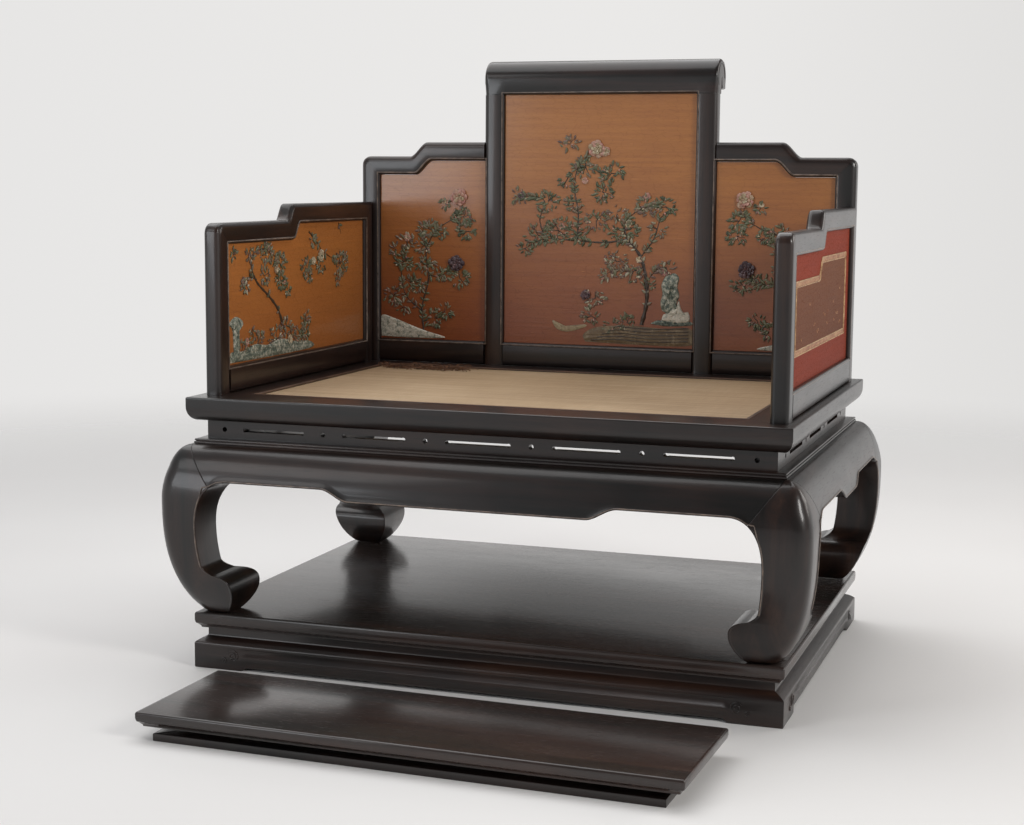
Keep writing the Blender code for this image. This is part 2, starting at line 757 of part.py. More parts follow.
def stem_figures(points, width):
    """A tapering stem, as one ribbon outline."""
    path = smooth_path(points, 2)
    left = []
    right = []
    for i, here in enumerate(path):
        ahead = path[min(i + 1, len(path) - 1)]
        behind = path[max(i - 1, 0)]
        run = (ahead - behind).normalized()
        across = Vector((-run.y, run.x)) * width * (1 - 0.7 * i / len(path)) / 2
        left.append(tuple(here + across))
        right.append(tuple(here - across))
    return [(left + right[::-1], INLAY_RISE * 0.7)]


def leaf(at, heading, length=LEAF_LENGTH):
    """A pointed leaf that starts at a point and lies along a heading in degrees."""
    run = Vector((math.cos(math.radians(heading)), math.sin(math.radians(heading))))
    across = Vector((-run.y, run.x)) * LEAF_WIDTH / 2 * length / LEAF_LENGTH
    base = Vector(at)
    middle = base + run * length * 0.45
    outline = [base, middle - across, base + run * length, middle + across]
    return [tuple(point) for point in outline], INLAY_RISE


def leafy_stem(points, width=STEM_WIDTH, start=FIRST_LEAF):
    """A stem with leaves to the left and right by turns."""
    figures = stem_figures(points, width)
    path = smooth_path(points, 12)
    walked = 0.0
    total = sum((b - a).length for a, b in zip(path, path[1:]))
    following = total * start
    side = 1
    for here, ahead in zip(path, path[1:]):
        walked += (ahead - here).length
        if walked >= following:
            heading = math.degrees(math.atan2(ahead.y - here.y, ahead.x - here.x))
            figures.append(leaf(here, heading + LEAF_ANGLE * side))
            following += LEAF_SPACING
            side = -side
    return figures


def blossom(centre, radius):
    """A round blossom. The larger ones have a smaller, higher disc at the heart."""
    outer = arc(centre, radius, 0, 360 - 360 / BLOSSOM_SIDES, BLOSSOM_SIDES - 1)
    if radius < BLOSSOM_HEART_FROM:
        return [(outer, INLAY_RISE)]
    inner = arc(centre, radius * 0.55, 20, 290, 3)
    return [(outer, INLAY_RISE), (inner, INLAY_RISE * 1.6)]


def mound(centre, half_width, height, bumps, rise=INLAY_RISE):
    """A rock or a bank of earth: flat below, with a bumpy top."""
    steps = 3 * bumps
    top = []
    for i in range(steps + 1):
        t = i / steps
        swell = math.sin(math.pi * t) ** 0.6
        bump = 0.82 + 0.18 * math.cos(2 * math.pi * bumps * t)
        top.append((centre[0] + half_width * (1 - 2 * t), centre[1] + height * swell * bump))
    return [(top, rise)]


def centre_picture(width, height):
    """A flowering tree that leans left from a bank with a rock, at the lower right."""
    figures = []
    bank = height * 0.05
    figures += mound((width * 0.76, bank), width * 0.20, height * 0.07, 3)
    figures += mound((width * 0.36, bank), width * 0.12, height * 0.03, 2)
    rock_foot = (width * 0.885, bank + height * 0.05)
    figures += mound(rock_foot, width * 0.055, height * 0.16, 2, INLAY_RISE * 1.5)
    trunk = [
        (0.71, 0.12), (0.70, 0.24), (0.64, 0.36), (0.55, 0.46),
        (0.45, 0.54), (0.40, 0.64), (0.43, 0.75),
    ]
    boughs = [
        [(0.60, 0.42), (0.45, 0.45), (0.28, 0.44), (0.10, 0.47)],
        [(0.69, 0.28), (0.76, 0.38), (0.85, 0.44), (0.92, 0.54)],
        [(0.41, 0.62), (0.30, 0.66), (0.24, 0.72)],
        [(0.58, 0.45), (0.63, 0.54), (0.72, 0.60)],
        [(0.42, 0.70), (0.50, 0.74), (0.54, 0.79)],
        [(0.40, 0.45), (0.32, 0.52), (0.22, 0.57)],
    ]
    scaled = [[(s * width, t * height) for s, t in line] for line in [trunk] + boughs]
    for order, line in enumerate(scaled):
        figures += leafy_stem(line, STEM_WIDTH * (1.3 if order == 0 else 0.8))
    blossoms = (
        (0.45, 0.80, 0.026), (0.10, 0.50, 0.014), (0.72, 0.62, 0.017), (0.30, 0.47, 0.014),
        (0.92, 0.56, 0.014), (0.52, 0.55, 0.013),
    )
    for s, t, size in blossoms:
        figures += blossom((s * width, t * height), size)
    shrub = [(width * 0.50, bank), (width * 0.47, height * 0.13), (width * 0.43, height * 0.17)]
    figures += leafy_stem(shrub, STEM_WIDTH * 0.6, SHRUB_FIRST_LEAF)
    return figures


def side_picture(width, height):
    """Peonies on tall stems above a rock slope, for one side bay of the back."""
    figures = mound((width * 0.30, height * 0.02), width * 0.29, height * 0.12, 2, INLAY_RISE * 1.5)
    figures += mound((width * 0.74, height * 0.02), width * 0.16, height * 0.05, 2)
    stems = [
        [(0.55, 0.05), (0.50, 0.25), (0.56, 0.45), (0.68, 0.62), (0.72, 0.80)],
        [(0.52, 0.20), (0.32, 0.32), (0.16, 0.40)],
        [(0.55, 0.40), (0.38, 0.52), (0.34, 0.64)],
        [(0.52, 0.28), (0.68, 0.38), (0.82, 0.42)],
    ]
    for line in stems:
        figures += leafy_stem([(s * width, t * height) for s, t in line])
    blossoms = (
        (0.74, 0.84, 0.026), (0.76, 0.44, 0.022), (0.34, 0.66, 0.014), (0.16, 0.42, 0.014))
    for s, t, size in blossoms:
        figures += blossom((s * width, t * height), size)
    return figures


def arm_picture(width, height):
    """An old tree over rocks and shrubs, and a hanging bough, for the inside of an arm."""
    figures = mound((width * 0.28, height * 0.02), width * 0.24, height * 0.10, 3)
    figures += mound((width * 0.12, height * 0.10), width * 0.05, height * 0.20, 2, INLAY_RISE * 1.5)
    stems = [
        [(0.30, 0.10), (0.24, 0.30), (0.34, 0.48), (0.26, 0.66), (0.38, 0.80)],
        [(0.30, 0.42), (0.44, 0.52), (0.52, 0.46)],
        [(0.98, 0.90), (0.82, 0.78), (0.66, 0.80), (0.56, 0.72)],
        [(0.84, 0.79), (0.80, 0.64), (0.72, 0.58)],
        [(0.40, 0.08), (0.50, 0.20), (0.58, 0.16)],
    ]
    for line in stems:
        figures += leafy_stem([(s * width, t * height) for s, t in line], STEM_WIDTH * 0.9)
    blossoms = (
        (0.38, 0.82, 0.017), (0.66, 0.80, 0.016), (0.56, 0.18, 0.013), (0.20, 0.62, 0.013))
    for s, t, size in blossoms:
        figures += blossom((s * width, t * height), size)
    return figures


def inlaid_panel(name, outline, place, figures, face, surface, origin, mirrored):
    """A panel board with its inlay fused to the side that faces the seat.

    Depths run from the frame's front face, at 0, towards its back. The face is the depth of
    the panel's show side.
    """
    board = finish(name, plate(outline, place, face, face + PANEL_THICK), surface, origin)
    left = min(s for s, t in outline)
    right = max(s for s, t in outline)
    floor = min(t for s, t in outline)

    def raised(s, t, rise):
        along = right - s if mirrored else left + s
        return place(along, floor + t, face - rise)

    guide = finish("guide_" + name, prism_bodies(figures, raised), surface, origin)
    boolean(board, guide, "UNION")


def build_arms(wood, lacquer, origin):
    """Both arms. Their panels show to the seat, and their frames are finished on both sides."""
    span = BACK_FRONT - ARM_FRONT
    near_post, top_rail, far_post, bottom_rail, panel = stepped_bay(
        ARM_LOW, ARM_HIGH, ARM_STEP_FROM_FRONT, ARM_STEP_RUN, ARM_PANEL_STEP_LAG,
        span - GAP, FRAME_MEMBER, FRAME_MEMBER, True)
    panel_face = (ARM_THICK - PANEL_THICK) / 2
    for name, sign in (("left", -1), ("right", 1)):
        inner = ARM_OUTER - ARM_THICK

        def place(s, t, depth, sign=sign, inner=inner):
            return Vector((sign * (inner + depth), ARM_FRONT + s, SEAT_TOP + t))

        for piece, outline in (("front_post", near_post), ("top_rail", top_rail),
                               ("rear_post", far_post), ("bottom_rail", bottom_rail)):
            finish(f"{name}_arm_{piece}", plate(outline, place, 0, ARM_THICK), wood, origin)
        width = span - 2 * FRAME_MEMBER
        figures = arm_picture(width, ARM_LOW - FRAME_MEMBER - BOTTOM_RAIL)
        inlaid_panel(f"{name}_arm_panel", panel, place, figures, panel_face, lacquer, origin, False)


def crest_profile():
    """The rolled-over top rail in section, as (depth behind the back's face, height)."""
    centre = (CREST_RADIUS, CREST_TOP - CREST_RADIUS)
    hollow = (BACK_THICK + CREST_HOLLOW / 2, CREST_TOP - CREST_RADIUS)
    lip = CREST_TOP - CREST_LIP
    points = [(0.0, CENTRE_OPENING_TOP)]
    points += arc(centre, CREST_RADIUS, 180, 0, 12)
    points += [
        (2 * CREST_RADIUS - CREST_LIP_ROUND, lip + CREST_LIP_ROUND),
        (2 * CREST_RADIUS - CREST_LIP_ROUND * 3, lip),
        (BACK_THICK + CREST_HOLLOW, lip + CREST_LIP_ROUND * 2),
    ]
    points += arc(hollow, CREST_HOLLOW / 2, 0, 180, 4)
    points.append((BACK_THICK, CENTRE_OPENING_TOP))
    return points


def build_back(wood, lacquer, origin):
    """The three bays of the back and the rolled crest."""
    def place(s, t, depth, sign=1):
        return Vector((sign * s, BACK_FRONT + depth, SEAT_TOP + t))

    stile_inner = STILE_OUTER - STILE_WIDTH
    panel_face = (BACK_THICK - PANEL_THICK) / 2
    bay = BACK_HALF_WIDTH - STILE_OUTER - GAP
    near_post, top_rail, _, bottom_rail, panel = stepped_bay(
        BACK_LOW, BACK_HIGH, BACK_STEP_FROM_OUTER, BACK_STEP_RUN, BACK_PANEL_STEP_LAG,
        bay, BACK_MEMBER, 0.0, False)
    for name, sign in (("left", -1), ("right", 1)):
        def bay_place(s, t, depth, sign=sign):
            return place(BACK_HALF_WIDTH - s, t, depth, sign)

        for piece, outline in (("outer_post", near_post), ("top_rail", top_rail),
                               ("bottom_rail", bottom_rail)):
            finish(f"back_{name}_{piece}", plate(outline, bay_place, 0, BACK_THICK), wood, origin)
        width = bay - BACK_MEMBER
        figures = side_picture(width, BACK_LOW - FRAME_MEMBER - BOTTOM_RAIL)
        inlaid_panel(
            f"back_{name}_panel", panel, bay_place, figures, panel_face, lacquer, origin, sign > 0)
        stile = [
            (stile_inner, GAP), (stile_inner, CENTRE_OPENING_TOP - GAP),
            (STILE_OUTER, CENTRE_OPENING_TOP - GAP), (STILE_OUTER, GAP),
        ]
        bm = loft([[place(s, t, d, sign) for s, t in stile] for d in (0, BACK_THICK)])
        finish(f"back_{name}_stile", bm, wood, origin)

    sections = []
    for s in (-STILE_OUTER, STILE_OUTER):
        sections.append([place(s, t, depth) for depth, t in crest_profile()])
    finish("back_crest", loft(sections), wood, origin, math.radians(35))

    opening = stile_inner - GAP
    rail = [(-opening, GAP), (-opening, BOTTOM_RAIL), (opening, BOTTOM_RAIL), (opening, GAP)]
    finish("back_centre_bottom_rail", plate(rail, place, 0, BACK_THICK), wood, origin)
    floor = BOTTOM_RAIL + GAP
    top = CENTRE_OPENING_TOP - GAP
    panel = [(-opening, floor), (-opening, top), (opening, top), (opening, floor)]
    figures = centre_picture(2 * opening, top - floor)
    inlaid_panel("back_centre_panel", panel, place, figures, panel_face, lacquer, origin, False)


def middle():
    """How far behind the platform's centre the middle of the whole set lies."""
    turn = math.radians(FOOTREST_TURN)
    reach = FOOTREST_DEPTH / 2 * math.cos(turn) + FOOTREST_WIDTH / 2 * abs(math.sin(turn))
    front = FOOTREST_FRONT + FOOTREST_DEPTH / 2 - reach
    bead = leg_outer(ARCH_TOP_HEIGHT - APRON_LOBE_DROP) + APRON_BEAD_RISE
    rear = MOULDING_HALF_Y - SEAT_SET_FORWARD + bead
    return (front + rear) / 2


def build():
    """Clear the scene and build the whole throne."""
    for stale in list(bpy.data.objects):
        bpy.data.objects.remove(stale, do_unlink=True)
    wood = material("dark_hardwood", (0.045, 0.028, 0.024), 0.32)
    lacquer = material("orange_lacquer", (0.42, 0.17, 0.045), 0.38)
    cane = material("woven_cane", (0.52, 0.40, 0.25), 0.70)
    strip_wood = material("strip_wood", (0.16, 0.09, 0.05), 0.50)
    origin = bpy.data.objects.new("throne_origin", None)
    bpy.context.scene.collection.objects.link(origin)
    origin.location = (0, -middle(), 0)
    build_platform(wood, origin)
    build_footrest(wood, origin)
    build_legs(wood, origin)
    build_aprons(wood, origin)
    build_seat(wood, cane, strip_wood, origin)
    build_arms(wood, lacquer, origin)
    build_back(wood, lacquer, origin)
    bpy.context.view_layer.update()


build()
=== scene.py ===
"""A dark hardwood throne with inlaid lacquer panels, on its platform, with its footrest before it.

Lengths are in metres, Z is up and the throne faces -Y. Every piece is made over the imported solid
that it stands for, and the sections follow the throne as it is put together, from the floor up.
"""
import json
import math
import random

import bmesh
import bpy
from mathutils import Matrix, Vector

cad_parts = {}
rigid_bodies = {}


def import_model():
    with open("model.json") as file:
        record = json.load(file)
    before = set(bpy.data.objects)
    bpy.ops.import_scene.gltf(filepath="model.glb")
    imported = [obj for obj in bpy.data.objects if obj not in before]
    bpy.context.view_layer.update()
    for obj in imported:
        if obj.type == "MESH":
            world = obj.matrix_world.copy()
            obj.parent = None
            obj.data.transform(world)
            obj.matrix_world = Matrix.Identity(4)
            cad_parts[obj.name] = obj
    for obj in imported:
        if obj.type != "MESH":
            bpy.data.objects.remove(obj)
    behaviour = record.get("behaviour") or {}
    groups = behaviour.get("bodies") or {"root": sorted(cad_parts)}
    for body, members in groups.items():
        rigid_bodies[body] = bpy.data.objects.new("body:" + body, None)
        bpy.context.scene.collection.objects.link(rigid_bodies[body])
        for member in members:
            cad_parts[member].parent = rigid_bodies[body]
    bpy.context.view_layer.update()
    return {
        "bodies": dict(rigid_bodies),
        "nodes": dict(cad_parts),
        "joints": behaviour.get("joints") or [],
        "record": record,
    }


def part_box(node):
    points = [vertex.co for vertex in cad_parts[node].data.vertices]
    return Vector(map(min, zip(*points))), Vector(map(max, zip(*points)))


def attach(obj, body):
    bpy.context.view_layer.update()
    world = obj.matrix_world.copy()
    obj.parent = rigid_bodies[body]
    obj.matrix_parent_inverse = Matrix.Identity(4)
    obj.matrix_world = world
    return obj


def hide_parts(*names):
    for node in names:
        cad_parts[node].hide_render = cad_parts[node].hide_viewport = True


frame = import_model()


# The platform's base is four hardwood rails mitred at the corners. Each is worked from one
# length: a foot is left standing at either end, carved with a small cloud scroll, and between
# the feet the face has a bead along its top and a raised band along its middle.

class Reading:
    """A value on its way through a tree of nodes. Plain arithmetic carries it on."""

    def __init__(self, bench, socket):
        self.bench = bench
        self.socket = socket

    def worked(self, operation, *values, clamp=False):
        settings = {"operation": operation, "use_clamp": clamp}
        return self.bench.node("ShaderNodeMath", settings, dict(enumerate(values)))

    def __add__(self, other):
        return self.worked("ADD", self, other)

    def __radd__(self, other):
        return self.worked("ADD", other, self)

    def __sub__(self, other):
        return self.worked("SUBTRACT", self, other)

    def __rsub__(self, other):
        return self.worked("SUBTRACT", other, self)

    def __mul__(self, other):
        return self.worked("MULTIPLY", self, other)

    def __rmul__(self, other):
        return self.worked("MULTIPLY", other, self)

    def held(self):
        """Kept between 0 and 1."""
        return self.worked("ADD", self, 0.0, clamp=True)

    def wave(self):
        return self.worked("SINE", self)

    def rising(self, low, high):
        """0 below low, 1 above high, and a smooth rise between."""
        settings = {"interpolation_type": "SMOOTHSTEP"}
        return self.bench.node("ShaderNodeMapRange", settings, {0: self, 1: low, 2: high})


class Bench:
    """A tree of nodes as it is laid out, for a shape or for a finish."""

    def __init__(self, tree):
        self.tree = tree

    def node(self, kind, settings, sockets, outlet=0):
        made = self.tree.nodes.new(kind)
        for word, value in settings.items():
            if word == "stops":
                stops = made.color_ramp.elements
                for order, (at, colour) in enumerate(value):
                    stop = stops[order] if order < len(stops) else stops.new(at)
                    stop.position = at
                    stop.color = (*colour, 1.0)
            else:
                setattr(made, word, value)
        for word, value in sockets.items():
            if isinstance(value, Reading):
                self.tree.links.new(made.inputs[word], value.socket)
            else:
                made.inputs[word].default_value = value
        return Reading(self, made.outputs[outlet])


class Finish(Bench):
    """A material, whose patterns lie on the piece's own place in the throne."""

    def __init__(self, name):
        self.material = bpy.data.materials.new(name)
        self.material.use_nodes = True
        super().__init__(self.material.node_tree)
        self.shader = self.tree.nodes["Principled BSDF"]
        self.place = self.node("ShaderNodeTexCoord", {}, {}, "Object")

    def stretched(self, scale):
        return self.node("ShaderNodeMapping", {}, {"Vector": self.place, "Scale": scale})

    def noise(self, place, scale, detail=4.0, rough=0.5, warp=0.0):
        sockets = {"Vector": place, "Scale": scale, "Detail": detail, "Roughness": rough,
                   "Distortion": warp}
        return self.node("ShaderNodeTexNoise", {}, sockets)

    def cracks(self, place, scale):
        """How far each place is from the nearest line of a net of cracks."""
        settings = {"feature": "DISTANCE_TO_EDGE"}
        return self.node("ShaderNodeTexVoronoi", settings, {"Vector": place, "Scale": scale})

    def ramp(self, share, *stops):
        return self.node("ShaderNodeValToRGB", {"stops": stops}, {0: share})

    def blend(self, share, first, second, kind="MIX"):
        colours = [c if isinstance(c, Reading) else (*c, 1.0) for c in (first, second)]
        settings = {"data_type": "RGBA", "blend_type": kind}
        return self.node("ShaderNodeMix", settings, {0: share, 6: colours[0], 7: colours[1]}, 2)

    def part(self, letter):
        return self.node("ShaderNodeSeparateXYZ", {}, {0: self.place}, letter)

    def give(self, colour, roughness, relief=None, fixed=None):
        """Join colour, roughness and a relief in metres to the shader, and set the rest."""
        wanted = {"Base Color": colour, "Roughness": roughness}
        if relief is not None:
            bump = {"Height": relief, "Distance": 1.0, "Strength": 1.0}
            wanted["Normal"] = self.node("ShaderNodeBump", {}, bump)
        for word, value in wanted.items():
            if isinstance(value, Reading):
                self.tree.links.new(self.shader.inputs[word], value.socket)
            else:
                self.shader.inputs[word].default_value = value
        for word, value in (fixed or {}).items():
            self.shader.inputs[word].default_value = value
        return self.material


DRAWN_OUT = 0.055
HARDWOOD_SHADES = (
    (0.30, (0.004, 0.0035, 0.003)), (0.50, (0.009, 0.0065, 0.0055)),
    (0.66, (0.021, 0.013, 0.009)), (0.82, (0.042, 0.024, 0.015)))
RUDDY, PORE_BLACK, DUST_AND_SHEEN_GREY = (0.085, 0.022, 0.014), (0.004, 0.003, 0.003), (0.115, 0.100, 0.092)


def hardwood(name, grain, red=0.19, gloss=0.27, uneven=0.0010, coat=0.40, dust_and_sheen=0.0):
    """Very dark, close-grained hardwood under old wax, with the grain along one axis."""
    finish = Finish(name)
    along = [DRAWN_OUT if axis == grain else 1.0 for axis in "xyz"]
    flow = finish.stretched(along)
    streaks = finish.noise(flow, 19.0, 5.0, 0.62, 0.9)
    pores = finish.noise(flow, 520.0, 2.0, 0.5)
    patches = finish.noise(finish.place, 4.2, 3.0, 0.55)
    figure = streaks + (patches - 0.5) * 0.45
    smears = finish.noise(finish.stretched([0.2 + 0.8 * share for share in along]), 22.0, 4.0, 0.6)
    dark = finish.ramp(figure, *HARDWOOD_SHADES)
    ruddy = finish.blend(((figure - 0.35) * 2.2 * red).held(), dark, RUDDY)
    colour = finish.blend(pores.rising(0.60, 0.72) * 0.5, ruddy, PORE_BLACK)
    # The colour is greyed in wiped patches: partly dust, partly a painted sheen in place of reflections.
    if dust_and_sheen:
        colour = finish.blend((smears * 0.7 + 0.3) * dust_and_sheen, colour, DUST_AND_SHEEN_GREY)
    roughness = gloss + smears * 0.16 + pores.rising(0.55, 0.75) * 0.10
    relief = pores * 0.00006 + streaks * 0.00018 + patches * uneven
    return finish.give(colour, roughness, relief, {
        "IOR": 1.5, "Specular IOR Level": 0.38, "Coat Weight": coat, "Coat Roughness": 0.13})


wood = {grain: hardwood("hardwood_along_" + grain, grain) for grain in "xyz"}
SIDES = ("front", "right", "back", "left")
GRAIN = {"front": "x", "right": "y", "back": "x", "left": "y"}
CLEARANCE = 0.0003


def eased(corners, steps=4):
    """An outline with rounded corners. A corner is (x, y) or (x, y, how far the round reaches)."""
    outline = []
    for i, corner in enumerate(corners):
        here = Vector(corner[:2])
        if len(corner) == 2:
            outline.append(here)
            continue
        back = Vector(corners[i - 1][:2]) - here
        ahead = Vector(corners[(i + 1) % len(corners)][:2]) - here
        start = here + back.normalized() * min(corner[2], back.length * 0.49)
        end = here + ahead.normalized() * min(corner[2], ahead.length * 0.49)
        for k in range(steps + 1):
            t = k / steps
            outline.append(start * (1 - t) ** 2 + here * 2 * t * (1 - t) + end * t * t)
    return outline


def skin(rings):
    """A closed body over equal rings of points."""
    body = bmesh.new()
    rows = [[body.verts.new(point) for point in ring] for ring in rings]
    count = len(rows[0])
    for low, high in zip(rows, rows[1:]):
        for i in range(count):
            body.faces.new((low[i], low[(i + 1) % count], high[(i + 1) % count], high[i]))
    body.faces.new(rows[0])
    body.faces.new(rows[-1])
    return body


def mounted(name, mesh, surface, nodes=()):
    """A finished piece from a mesh: given its material, and put in place of its solids."""
    mesh.materials.append(surface)
    made = bpy.data.objects.new(name, mesh)
    bpy.context.scene.collection.objects.link(made)
    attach(made, "root")
    if nodes:
        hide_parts(*nodes)
    return made


def worked_piece(name, body, surface, nodes=(), corner=32):
    """A bmesh made into a piece, smooth except at its corners."""
    bmesh.ops.recalc_face_normals(body, faces=body.faces)
    mesh = bpy.data.meshes.new(name)
    body.to_mesh(mesh)
    body.free()
    mesh.shade_smooth()
    mesh.set_sharp_from_angle(angle=math.radians(corner))
    return mounted(name, mesh, surface, nodes)


board_low, board_high = map(Vector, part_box("platform_top"))
middle_y = (board_low.y + board_high.y) / 2
platform_half = ((board_high.x - board_low.x) / 2, (board_high.y - board_low.y) / 2)


def on_side(side, along, out, height, centre_y=middle_y):
    """A point on one side of the throne: along that side, and out from the middle."""
    x, y = {"front": (along, -out), "back": (-along, out),
            "right": (out, along), "left": (-out, -along)}[side]
    return Vector((x, y + centre_y, height))


def half_lengths(side, half):
    """Half the length and half the breadth of a rectangle, as one side sees them."""
    return half if side in ("front", "back") else (half[1], half[0])


def mitred(side, half, profile, centre_y=middle_y):
    """One side of a mitred frame, from a profile of (inset from the edge, height)."""
    length, breadth = half_lengths(side, half)
    return skin([
        [on_side(side, end * (length - inset - CLEARANCE), breadth - inset, height, centre_y)
         for inset, height in profile]
        for end in (-1, 1)])


def base_profile(lift, sink, band):
    """The base rail's section. The band is how far its raised parts stand from its fields."""
    neck = board_low.z - CLEARANCE
    face = sink + band
    return eased([
        (face, lift, 0.003), (face, 0.0195), (sink, 0.0215, 0.001), (sink, 0.0285, 0.001),
        (face, 0.0305), (face, 0.0445), (0.0, 0.0465, 0.0012), (0.0, 0.0520, 0.0022),
        (0.0095, 0.0590, 0.004), (0.021, 0.0640, 0.003), (0.021, neck), (0.090, neck),
        (0.090, lift)])


FOOT_LENGTH, FOOT_EASE = 0.105, 0.010
foot_shape = base_profile(0.0, 0.0, 0.0)
field_shape = base_profile(0.006, 0.002, 0.0022)
STATIONS = ((foot_shape, None), (foot_shape, FOOT_LENGTH), (field_shape, FOOT_LENGTH + FOOT_EASE))
for side in SIDES:
    length, breadth = half_lengths(side, platform_half)
    rings = []
    for end in (-1, 1):
        half = [[on_side(side, end * (length - (back or inset + CLEARANCE)), breadth - inset, height)
                 for inset, height in shape] for shape, back in STATIONS]
        rings += half if end < 0 else half[::-1]
    worked_piece("base_rail_" + side, skin(rings), wood[GRAIN[side]], ["platform_base_" + side])


def shaped(name, mesh, recipe, sizes, place=None):
    """Run a recipe of nodes over a mesh, and put the plain mesh that comes of it in its place."""
    holder = bpy.data.objects.new(name, mesh)
    bpy.context.scene.collection.objects.link(holder)
    modifier = holder.modifiers.new("recipe", "NODES")
    modifier.node_group = recipe
    for socket in recipe.interface.items_tree:
        if socket.item_type == "SOCKET" and socket.in_out == "INPUT" and socket.name in sizes:
            modifier[socket.identifier] = sizes[socket.name]
    holder.update_tag()
    graph = bpy.context.evaluated_depsgraph_get()
    result = bpy.data.meshes.new_from_object(
        holder.evaluated_get(graph), preserve_all_data_layers=True, depsgraph=graph)
    bpy.data.objects.remove(holder)
    result.name = name
    result.materials.clear()
    for corner in result.vertices if place else ():
        corner.co = place(*corner.co)
    return result


def recipe_tree(name, sizes):
    """An empty recipe with a geometry input and the sizes it asks for."""
    tree = bpy.data.node_groups.new(name, "GeometryNodeTree")
    tree.interface.new_socket("Lines", in_out="INPUT", socket_type="NodeSocketGeometry")
    for word, kind in sizes.items():
        tree.interface.new_socket(word, in_out="INPUT", socket_type="NodeSocket" + kind)
    tree.interface.new_socket("Piece", in_out="OUTPUT", socket_type="NodeSocketGeometry")
    bench = Bench(tree)
    start = tree.nodes.new("NodeGroupInput")
    given = {socket.name: Reading(bench, socket) for socket in start.outputs if socket.name}
    return bench, given


def close_recipe(bench, shape, surface):
    """End a recipe: plain geometry, smooth, with its material."""
    plain = bench.node("GeometryNodeRealizeInstances", {}, {"Geometry": shape})
    smooth = bench.node("GeometryNodeSetShadeSmooth", {}, {"Geometry": plain})
    last = bench.node("GeometryNodeSetMaterial", {}, {"Geometry": smooth, "Material": surface})
    end = bench.tree.nodes.new("NodeGroupOutput")
    bench.tree.links.new(end.inputs[0], last.socket)
    return bench.tree


bench, given = recipe_tree("bead_along_a_line", {"Half Width": "Float", "Finish": "Material"})
line = bench.node("GeometryNodeMeshToCurve", {}, {0: given["Lines"]})
width = bench.node("GeometryNodeInputNamedAttribute", {"data_type": "FLOAT"}, {"Name": "thick"})
line = bench.node("GeometryNodeSetCurveRadius", {}, {"Curve": line, "Radius": width})
ring = bench.node("GeometryNodeCurvePrimitiveCircle", {"mode": "RADIUS"},
                  {"Resolution": 8, "Radius": given["Half Width"]})
rod = bench.node("GeometryNodeCurveToMesh", {},
                 {"Curve": line, "Profile Curve": ring, "Fill Caps": True, "Scale": width})
bead_recipe = close_recipe(bench, rod, given["Finish"])


def beads(name, lines, half_width, surface, place=None):
    """Round beads along lines. A line is (points, closed) or (points, closed, widths)."""
    mesh = bpy.data.meshes.new(name + "_lines")
    points, edges, widths = [], [], []
    for line in lines:
        first, count = len(points), len(line[0])
        points += [tuple(point) for point in line[0]]
        widths += list(line[2]) if len(line) > 2 else [1.0] * count
        edges += [(first + i, first + i + 1) for i in range(count - 1)]
        if line[1]:
            edges.append((first + count - 1, first))
    mesh.from_pydata(points, edges, [])
    mesh.attributes.new("thick", "FLOAT", "POINT").data.foreach_set("value", widths)
    made = shaped(name, mesh, bead_recipe, {"Half Width": half_width, "Finish": surface}, place)
    mounted(name, made, surface)


SCROLLS = ((0.0125, 0.017, 0.030, 1.9), (0.006, 0.038, 0.020, 1.2))
TURN_STEPS = 14
scrolls = []
for side in SIDES:
    length, breadth = half_lengths(side, platform_half)
    for end in (-1, 1):
        for size, at, rise, turns in SCROLLS:
            spiral = []
            for k in range(int(turns * TURN_STEPS) + 1):
                angle = k / TURN_STEPS * 2 * math.pi + 0.6
                reach = size * (1 - k / TURN_STEPS / turns * 0.85)
                along = end * (length - FOOT_LENGTH + at + reach * math.cos(angle))
                height = rise + reach * math.sin(angle)
                spiral.append(on_side(side, along, breadth + 0.0002, height))
            scrolls.append((spiral, False))
beads("cloud_scrolls", scrolls, 0.0014, wood["x"])


# The platform's top is one broad board of the same wood. Its edge is rounded above and cut
# back below, and it lies on the base's neck. Years of feet and cloths have polished it.

def edged_board(half, bottom, top, place):
    """A board, ring by ring, from its lower face over its moulded edge to its upper face."""
    cut_back = ((0.014, 0.0), (0.010, 0.0005), (0.0095, 0.003), (0.0045, 0.0085),
                (0.0015, 0.0105), (0.0006, 0.0135), (0.0, 0.0165))
    rounded = ((0.0, 0.0045), (0.0006, 0.0022), (0.0020, 0.0007), (0.0045, 0.0))
    edge = [(inset, bottom + rise) for inset, rise in cut_back]
    edge += [(inset, top - drop) for inset, drop in rounded]
    soft = 0.003
    rings = []
    for inset, height in edge:
        x, y = half[0] - inset - soft, half[1] - inset - soft
        ring = []
        for sx, sy, turn in ((-1, -1, 180), (1, -1, 270), (1, 1, 0), (-1, 1, 90)):
            for k in range(4):
                angle = math.radians(turn + 30 * k)
                ring.append(place(sx * x + soft * math.cos(angle), sy * y + soft * math.sin(angle), height))
        rings.append(ring)
    return skin(rings)


# The boards' colour is greyed in patches, partly as dust and partly as painted sheen.
table_wood = hardwood("hardwood_of_the_boards", "x", 0.34, 0.13, 0.0002, 0.26, 0.28)
worked_piece("platform_board", edged_board(
    platform_half, board_low.z, board_high.z, lambda x, y, z: Vector((x, y + middle_y, z))),
    table_wood, ["platform_top"])


# The footrest is a smaller board of the same make, on a thin strip frame set well in from its
# ends. It stands loose on the floor before the platform, a little aside and a little turned.

REST_HALF, STRIP_INSET = (0.5025, 0.1485), (0.032, 0.008)
REST_TURN = math.radians(-1.2)
rest_low, rest_high = map(Vector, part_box("footrest_top"))
rest_middle = (rest_low + rest_high) / 2


def on_rest(x, y, height):
    """A point of the footrest, turned with it."""
    turned = Matrix.Rotation(REST_TURN, 2) @ Vector((x, y))
    return Vector((rest_middle.x + turned.x, rest_middle.y + turned.y, height))


